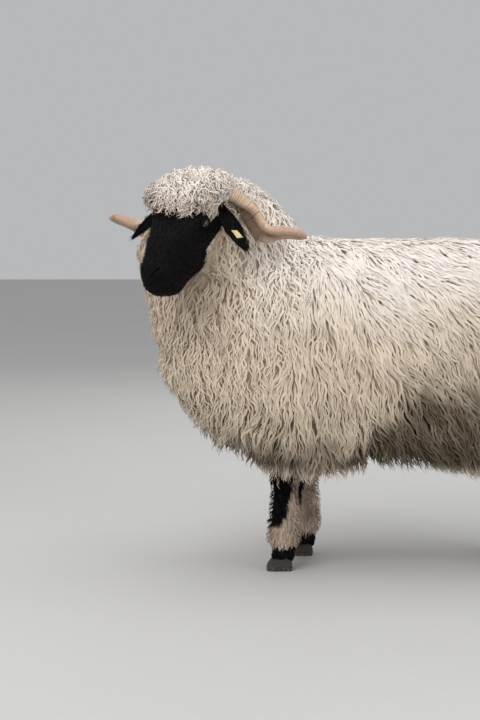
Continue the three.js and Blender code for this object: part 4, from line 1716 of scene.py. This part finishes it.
    def waved(self, zone: Zone, lines: Array, groups: Array, lock: Lock, rng: np.random.Generator) -> Strands:
        """Adds the crimp, and chooses each lock's shade.

        Args:
            zone: The zone.
            lines: Middle lines of the locks.
            groups: Number of each lock's leader.
            lock: The kind of lock.
            rng: Source of chance.

        Returns:
            The strands.
        """
        ahead = unit(np.gradient(lines, axis=1))
        _, out = self.surface(zone).nearest(lines[:, -1])
        side = unit(np.cross(ahead, out[:, None, :]))
        out = np.cross(side, ahead)
        count = len(lines)
        steps = np.linalg.norm(np.diff(lines, axis=1), axis=2)
        run = np.concatenate([np.zeros((count, 1)), steps.cumsum(1)], 1)
        phases = rng.uniform(0, TURN, groups.max() + 1)
        phase = phases[groups][:, None] + rng.normal(0, 0.55, (count, 1))
        turn = TURN * run / (lock.wavelength * rng.uniform(0.8, 1.25, (count, 1))) + phase
        grown = ease(run / np.maximum(run[:, -1:], 1e-6), 0.05, 0.45)
        swing = lock.wave * rng.uniform(0.6, 1.3, (count, 1)) * grown
        hand = np.where(rng.random((count, 1)) < 0.5, 1.0, -1.0)
        lines = lines + side * (swing * np.sin(turn))[..., None]
        lines = lines + out * (swing * lock.curl * np.cos(turn) * hand)[..., None]
        shades = rng.random(groups.max() + 1)
        tone = np.clip(0.55 * shades[groups] + 0.45 * rng.random(count), 0, 1)
        return Strands(lines, side, out, tone)

    def lock_faces(self, rings: int, marks: Array) -> tuple[Array, Array]:
        """The faces of one lock, which all locks of a piece share.

        Args:
            rings: Number of rings of three points; the point after the last of them is the tip.
            marks: Places of the rings and of the tip along the lock.

        Returns:
            The numbers of each face's corners, and their places on a strip around and along the lock.
        """
        faces, uv = [], []
        for i in range(rings - 1):
            for k in range(3):
                n = (k + 1) % 3
                a, b, c, d = i * 3 + k, i * 3 + n, (i + 1) * 3 + n, (i + 1) * 3 + k
                left, right, low, high = k / 3, (k + 1) / 3, marks[i], marks[i + 1]
                faces += [(a, b, c), (a, c, d)]
                uv += [((left, low), (right, low), (right, high)), ((left, low), (right, high), (left, high))]
        last, apex = (rings - 1) * 3, rings * 3
        for k in range(3):
            faces.append((last + k, last + (k + 1) % 3, apex))
            uv.append(((k / 3, marks[-2]), ((k + 1) / 3, marks[-2]), ((k + 0.5) / 3, 1.0)))
        faces.append((2, 1, 0))
        uv.append(((0.9, 0.02), (0.5, 0.02), (0.1, 0.02)))
        return np.array(faces)[:, ::-1], np.array(uv)[:, ::-1]

    def tubes(self, name: str, strands: Strands, lock: Lock, rng: np.random.Generator) -> bpy.types.Object:
        """Makes the mesh: each lock is a closed, three-sided, tapering tube.

        Args:
            name: Name of the piece.
            strands: The locks' middle lines, directions and shades.
            lock: The kind of lock.
            rng: Source of chance.

        Returns:
            The piece.
        """
        lines, side, out = strands.lines, strands.side, strands.out
        count, rings = lines.shape[0], lines.shape[1] - 1
        t = lock.marks()[:-1]
        full = (0.62 + 0.38 * np.sin(math.pi * np.clip(t * 1.25, 0, 1))) * (1 - ease(t, 0.40, 1.12)) + 0.06
        wide = lock.width * full[None] * rng.uniform(0.65, 1.3, (count, 1))
        twist = rng.uniform(0, TURN, (count, 1)) + rng.uniform(-2.2, 2.2, (count, 1)) * t[None]
        corners = []
        for k in range(3):
            a = twist + TURN * k / 3
            across = side[:, :-1] * (wide / 2 * np.cos(a))[..., None]
            raised = out[:, :-1] * (wide / 2 * lock.flat * np.sin(a))[..., None]
            corners.append(lines[:, :-1] + across + raised)
        body = np.stack(corners, 2).reshape(count, rings * 3, 3)
        points = np.concatenate([body, lines[:, -1:]], 1)
        size = points.shape[1]
        faces, uv = self.lock_faces(rings, lock.marks())
        all_faces = (faces[None] + (np.arange(count) * size)[:, None, None]).reshape(-1, 3)

        mesh = bpy.data.meshes.new(name)
        mesh.vertices.add(count * size)
        mesh.vertices.foreach_set("co", points.astype(np.float32).ravel())
        mesh.loops.add(all_faces.size)
        mesh.loops.foreach_set("vertex_index", all_faces.astype(np.int32).ravel())
        mesh.polygons.add(len(all_faces))
        mesh.polygons.foreach_set("loop_start", np.arange(0, all_faces.size, 3, dtype=np.int32))
        spot = np.clip(unwrap(lines[:, 0])[:, None, None] + (uv[None] - 0.5) * self.patch, 0, 1)
        lane = np.broadcast_to(uv[None], (count, *uv.shape))
        for key, place in (("OFBake", spot), ("Strand", lane)):
            mesh.uv_layers.new(name=key).uv.foreach_set("vector", place.astype(np.float32).ravel())
        mesh.update(calc_edges=True)
        piece = new_object(name, mesh)
        shade_smooth(piece)
        outward = np.concatenate([np.repeat(out[:, :-1], 3, 1), out[:, -1:]], 1)
        self.soften(mesh, outward.reshape(-1, 3), lock.soft)
        along = np.concatenate([np.repeat(t, 3), [1.0]])
        store(mesh, Along=np.tile(along, count), Tone=np.repeat(strands.tone, size))
        roots = np.repeat(lines[:, 1:2], size, 1).reshape(-1, 3)
        MARKINGS.write(mesh, points.reshape(-1, 3), roots, name.startswith(("leg", "face")))
        return piece

    def soften(self, mesh: bpy.types.Mesh, out: Array, share: float) -> None:
        """Turns the normals of the locks towards those of the coat, as light does that goes through wool.

        Args:
            mesh: The mesh of the locks.
            out: The coat's outward direction at each point.
            share: How far, from 0 to 1.
        """
        form = Surface(mesh)
        face = np.repeat(unit(form.faces()[1]), 3, 0)
        turned = unit(form.normals() * (1 - share) + out * share)[form.triangles.ravel()]
        short = np.maximum(0.10 - dot(turned, face), 0)
        mesh.normals_split_custom_set(unit(turned + face * short).astype(np.float32))

    def grow(self, name: str, zone: Zone, seed: int, parts: int) -> None:
        """Grows one zone's locks and makes pieces of them.

        Args:
            name: Name of the piece, or start of the pieces' names.
            zone: The zone.
            seed: Seed of all chance in it.
            parts: Number of pieces, divided from front to back.
        """
        lock, rng = LOCKS[zone], np.random.default_rng(seed)
        roots = self.scatter(zone, lock.spacing, seed)
        if zone is Zone.FLEECE:
            thinned = rng.random(len(roots.places)) < self.belly_share
            roots = roots.pick((roots.normals[:, 2] > -0.55) | thinned)
        lines = self.paths(zone, roots, lock, rng)
        lines, groups = self.clumped(lines, roots, lock, rng)
        lines = self.trimmed(lines, self.barred(zone, lines, rng))
        strands = self.waved(zone, lines, groups, lock, rng)
        front = strands.lines[:, 0, 0]
        cuts = np.quantile(front, np.linspace(0, 1, parts + 1))
        for i in range(parts):
            mine = (front >= cuts[i]) & ((front < cuts[i + 1]) | (i == parts - 1))
            piece_name = name if parts == 1 else f"{name}_{i + 1}"
            piece = self.tubes(piece_name, strands.pick(mine), lock, rng)
            self.pieces.append(piece)
            log.info("%s: %d locks, %d triangles", piece_name, mine.sum(), len(piece.data.polygons))

    def dress(self) -> None:
        """Gives every coat piece its material and its place in the table."""
        wool = WoolFinish().dress("wool_locks")
        for piece in self.pieces:
            piece.data.materials.append(wool)
            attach(piece, "root")
            if piece.name.startswith("crown"):
                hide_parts("forelock")


def unwrap(places: Array) -> Array:
    """Unrolls the skin onto a square: a band for the body, and below it strips for neck, head and legs.

    Args:
        places: Places on the skin.

    Returns:
        A pair from 0 to 1 for each.
    """
    x, y, z = places.T
    local = HEAD.local(places)
    bulge = np.tanh((np.abs(x - 0.05) - 0.45) * 8) * np.sign(x - 0.05)
    ends = 0.06 * bulge * np.hypot((y - MIDLINE) / 0.25, (z - 0.55) / 0.28)
    length = 0.03 + 0.94 * np.clip((x - ends + 0.62) / 1.26, 0, 1)
    found = np.stack([length, 0.01 + 0.56 * way_round(y - MIDLINE, 0.55 - z)], 1)
    head = (np.abs(local[:, 1]) < 190) & (local[:, 0] > -50) & (local[:, 2] > -185) & (z > 0.68)
    round_head = way_round(local[:, 1], local[:, 2] + 80)
    for mine, left, turn, share in (
        (on_neck(places), 0.01, 0.44 * way_round(y - 0.03, x + 0.36), (z - 0.44) / 0.56),
        (head, 0.48, 0.50 * round_head, (local[:, 0] + 50) / 360),
    ):
        found[mine] = np.stack([left + turn, 0.60 + 0.22 * np.clip(share, 0, 1)], 1)[mine]
    which = (x > 0.1) * 2 + (y > MIDLINE)
    for k, (foot_x, foot_y) in enumerate(MARKINGS.fore_feet + MARKINGS.hind_feet):
        mine = (z < LEG_TOP) & (which == k)
        turn = way_round(y - foot_y, x - foot_x)
        strip = np.stack([0.01 + 0.245 * (k + 0.96 * turn), 0.85 + 0.14 * np.clip(z / LEG_TOP, 0, 1)], 1)
        found[mine] = strip[mine]
    return found


# ---- Stage ----


@dataclass(frozen=True)
class Lamp:
    """A square area light."""

    name: str
    place: tuple[float, float, float]
    aim: tuple[float, float, float]  # the point it faces
    size: float
    power: float  # watts

    def hang(self) -> None:
        """Adds the light to the scene."""
        lamp = bpy.data.lights.new(self.name, "AREA")
        lamp.size = self.size
        lamp.energy = self.power
        held = bpy.data.objects.new(self.name, lamp)
        held.location = self.place
        held.rotation_euler = (Vector(self.aim) - Vector(self.place)).to_track_quat("-Z", "Y").to_euler()
        bpy.context.scene.collection.objects.link(held)


@dataclass
class Studio:
    """Floor, lights and camera."""

    eye: tuple[float, float, float] = (-0.3241, -4.2927, 0.958)
    pitch: float = 5.711  # camera's tilt below the horizon, degrees
    lens: float = 85.0
    film: float = 36.0  # height of the picture, millimetres
    floor_half: float = 14.0
    sky: Colour = (0.92, 0.93, 0.95)
    sky_strength: float = 0.52
    lights: tuple[Lamp, ...] = (
        Lamp("key", (-2.0, -2.8, 3.4), (0, 0, 0.55), 2.8, 80.0),
        Lamp("top", (0.2, 0.0, 3.8), (0, 0, 0.5), 3.2, 42.0),
        Lamp("fill", (2.8, -3.0, 1.7), (0, 0, 0.5), 2.8, 32.0),
        Lamp("back", (0.6, 3.4, 2.6), (0, 0, 0.6), 2.4, 26.0),
    )

    def build(self) -> None:
        """Makes the floor, lights, world and camera."""
        made = bmesh.new()
        bmesh.ops.create_grid(made, x_segments=1, y_segments=1, size=self.floor_half)
        floor = ended(made, "floor")
        floor.data.materials.append(FloorFinish().dress("pale_floor"))
        for lamp in self.lights:
            lamp.hang()

        world = bpy.data.worlds.new("soft")
        world.use_nodes = True
        ground = world.node_tree.nodes["Background"]
        ground.inputs[0].default_value = (*self.sky, 1.0)
        ground.inputs[1].default_value = self.sky_strength
        bpy.context.scene.world = world
        bpy.context.scene.view_settings.view_transform = "Standard"

        camera = bpy.data.objects.new("camera", bpy.data.cameras.new("camera"))
        camera.data.sensor_fit = "VERTICAL"
        camera.data.sensor_height = self.film
        camera.data.lens = self.lens
        camera.location = self.eye
        camera.rotation_euler = (math.radians(90 - self.pitch), 0, 0)
        bpy.context.scene.collection.objects.link(camera)
        bpy.context.scene.camera = camera


def main() -> None:
    """Builds every piece in order."""
    logging.basicConfig(level=logging.INFO, format="%(name)s: %(message)s")
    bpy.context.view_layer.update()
    Studio().build()
    skin = Skin()
    piece = skin.build()
    skin.dress(piece)
    log.info("skin: %d faces", len(piece.data.polygons))
    HardParts().build(skin.lids)
    coat = Coat(piece)
    for name, zone, seed, parts in COAT_PIECES:
        coat.grow(name, zone, seed, parts)
    coat.dress()


if __name__ == "__main__":
    main()
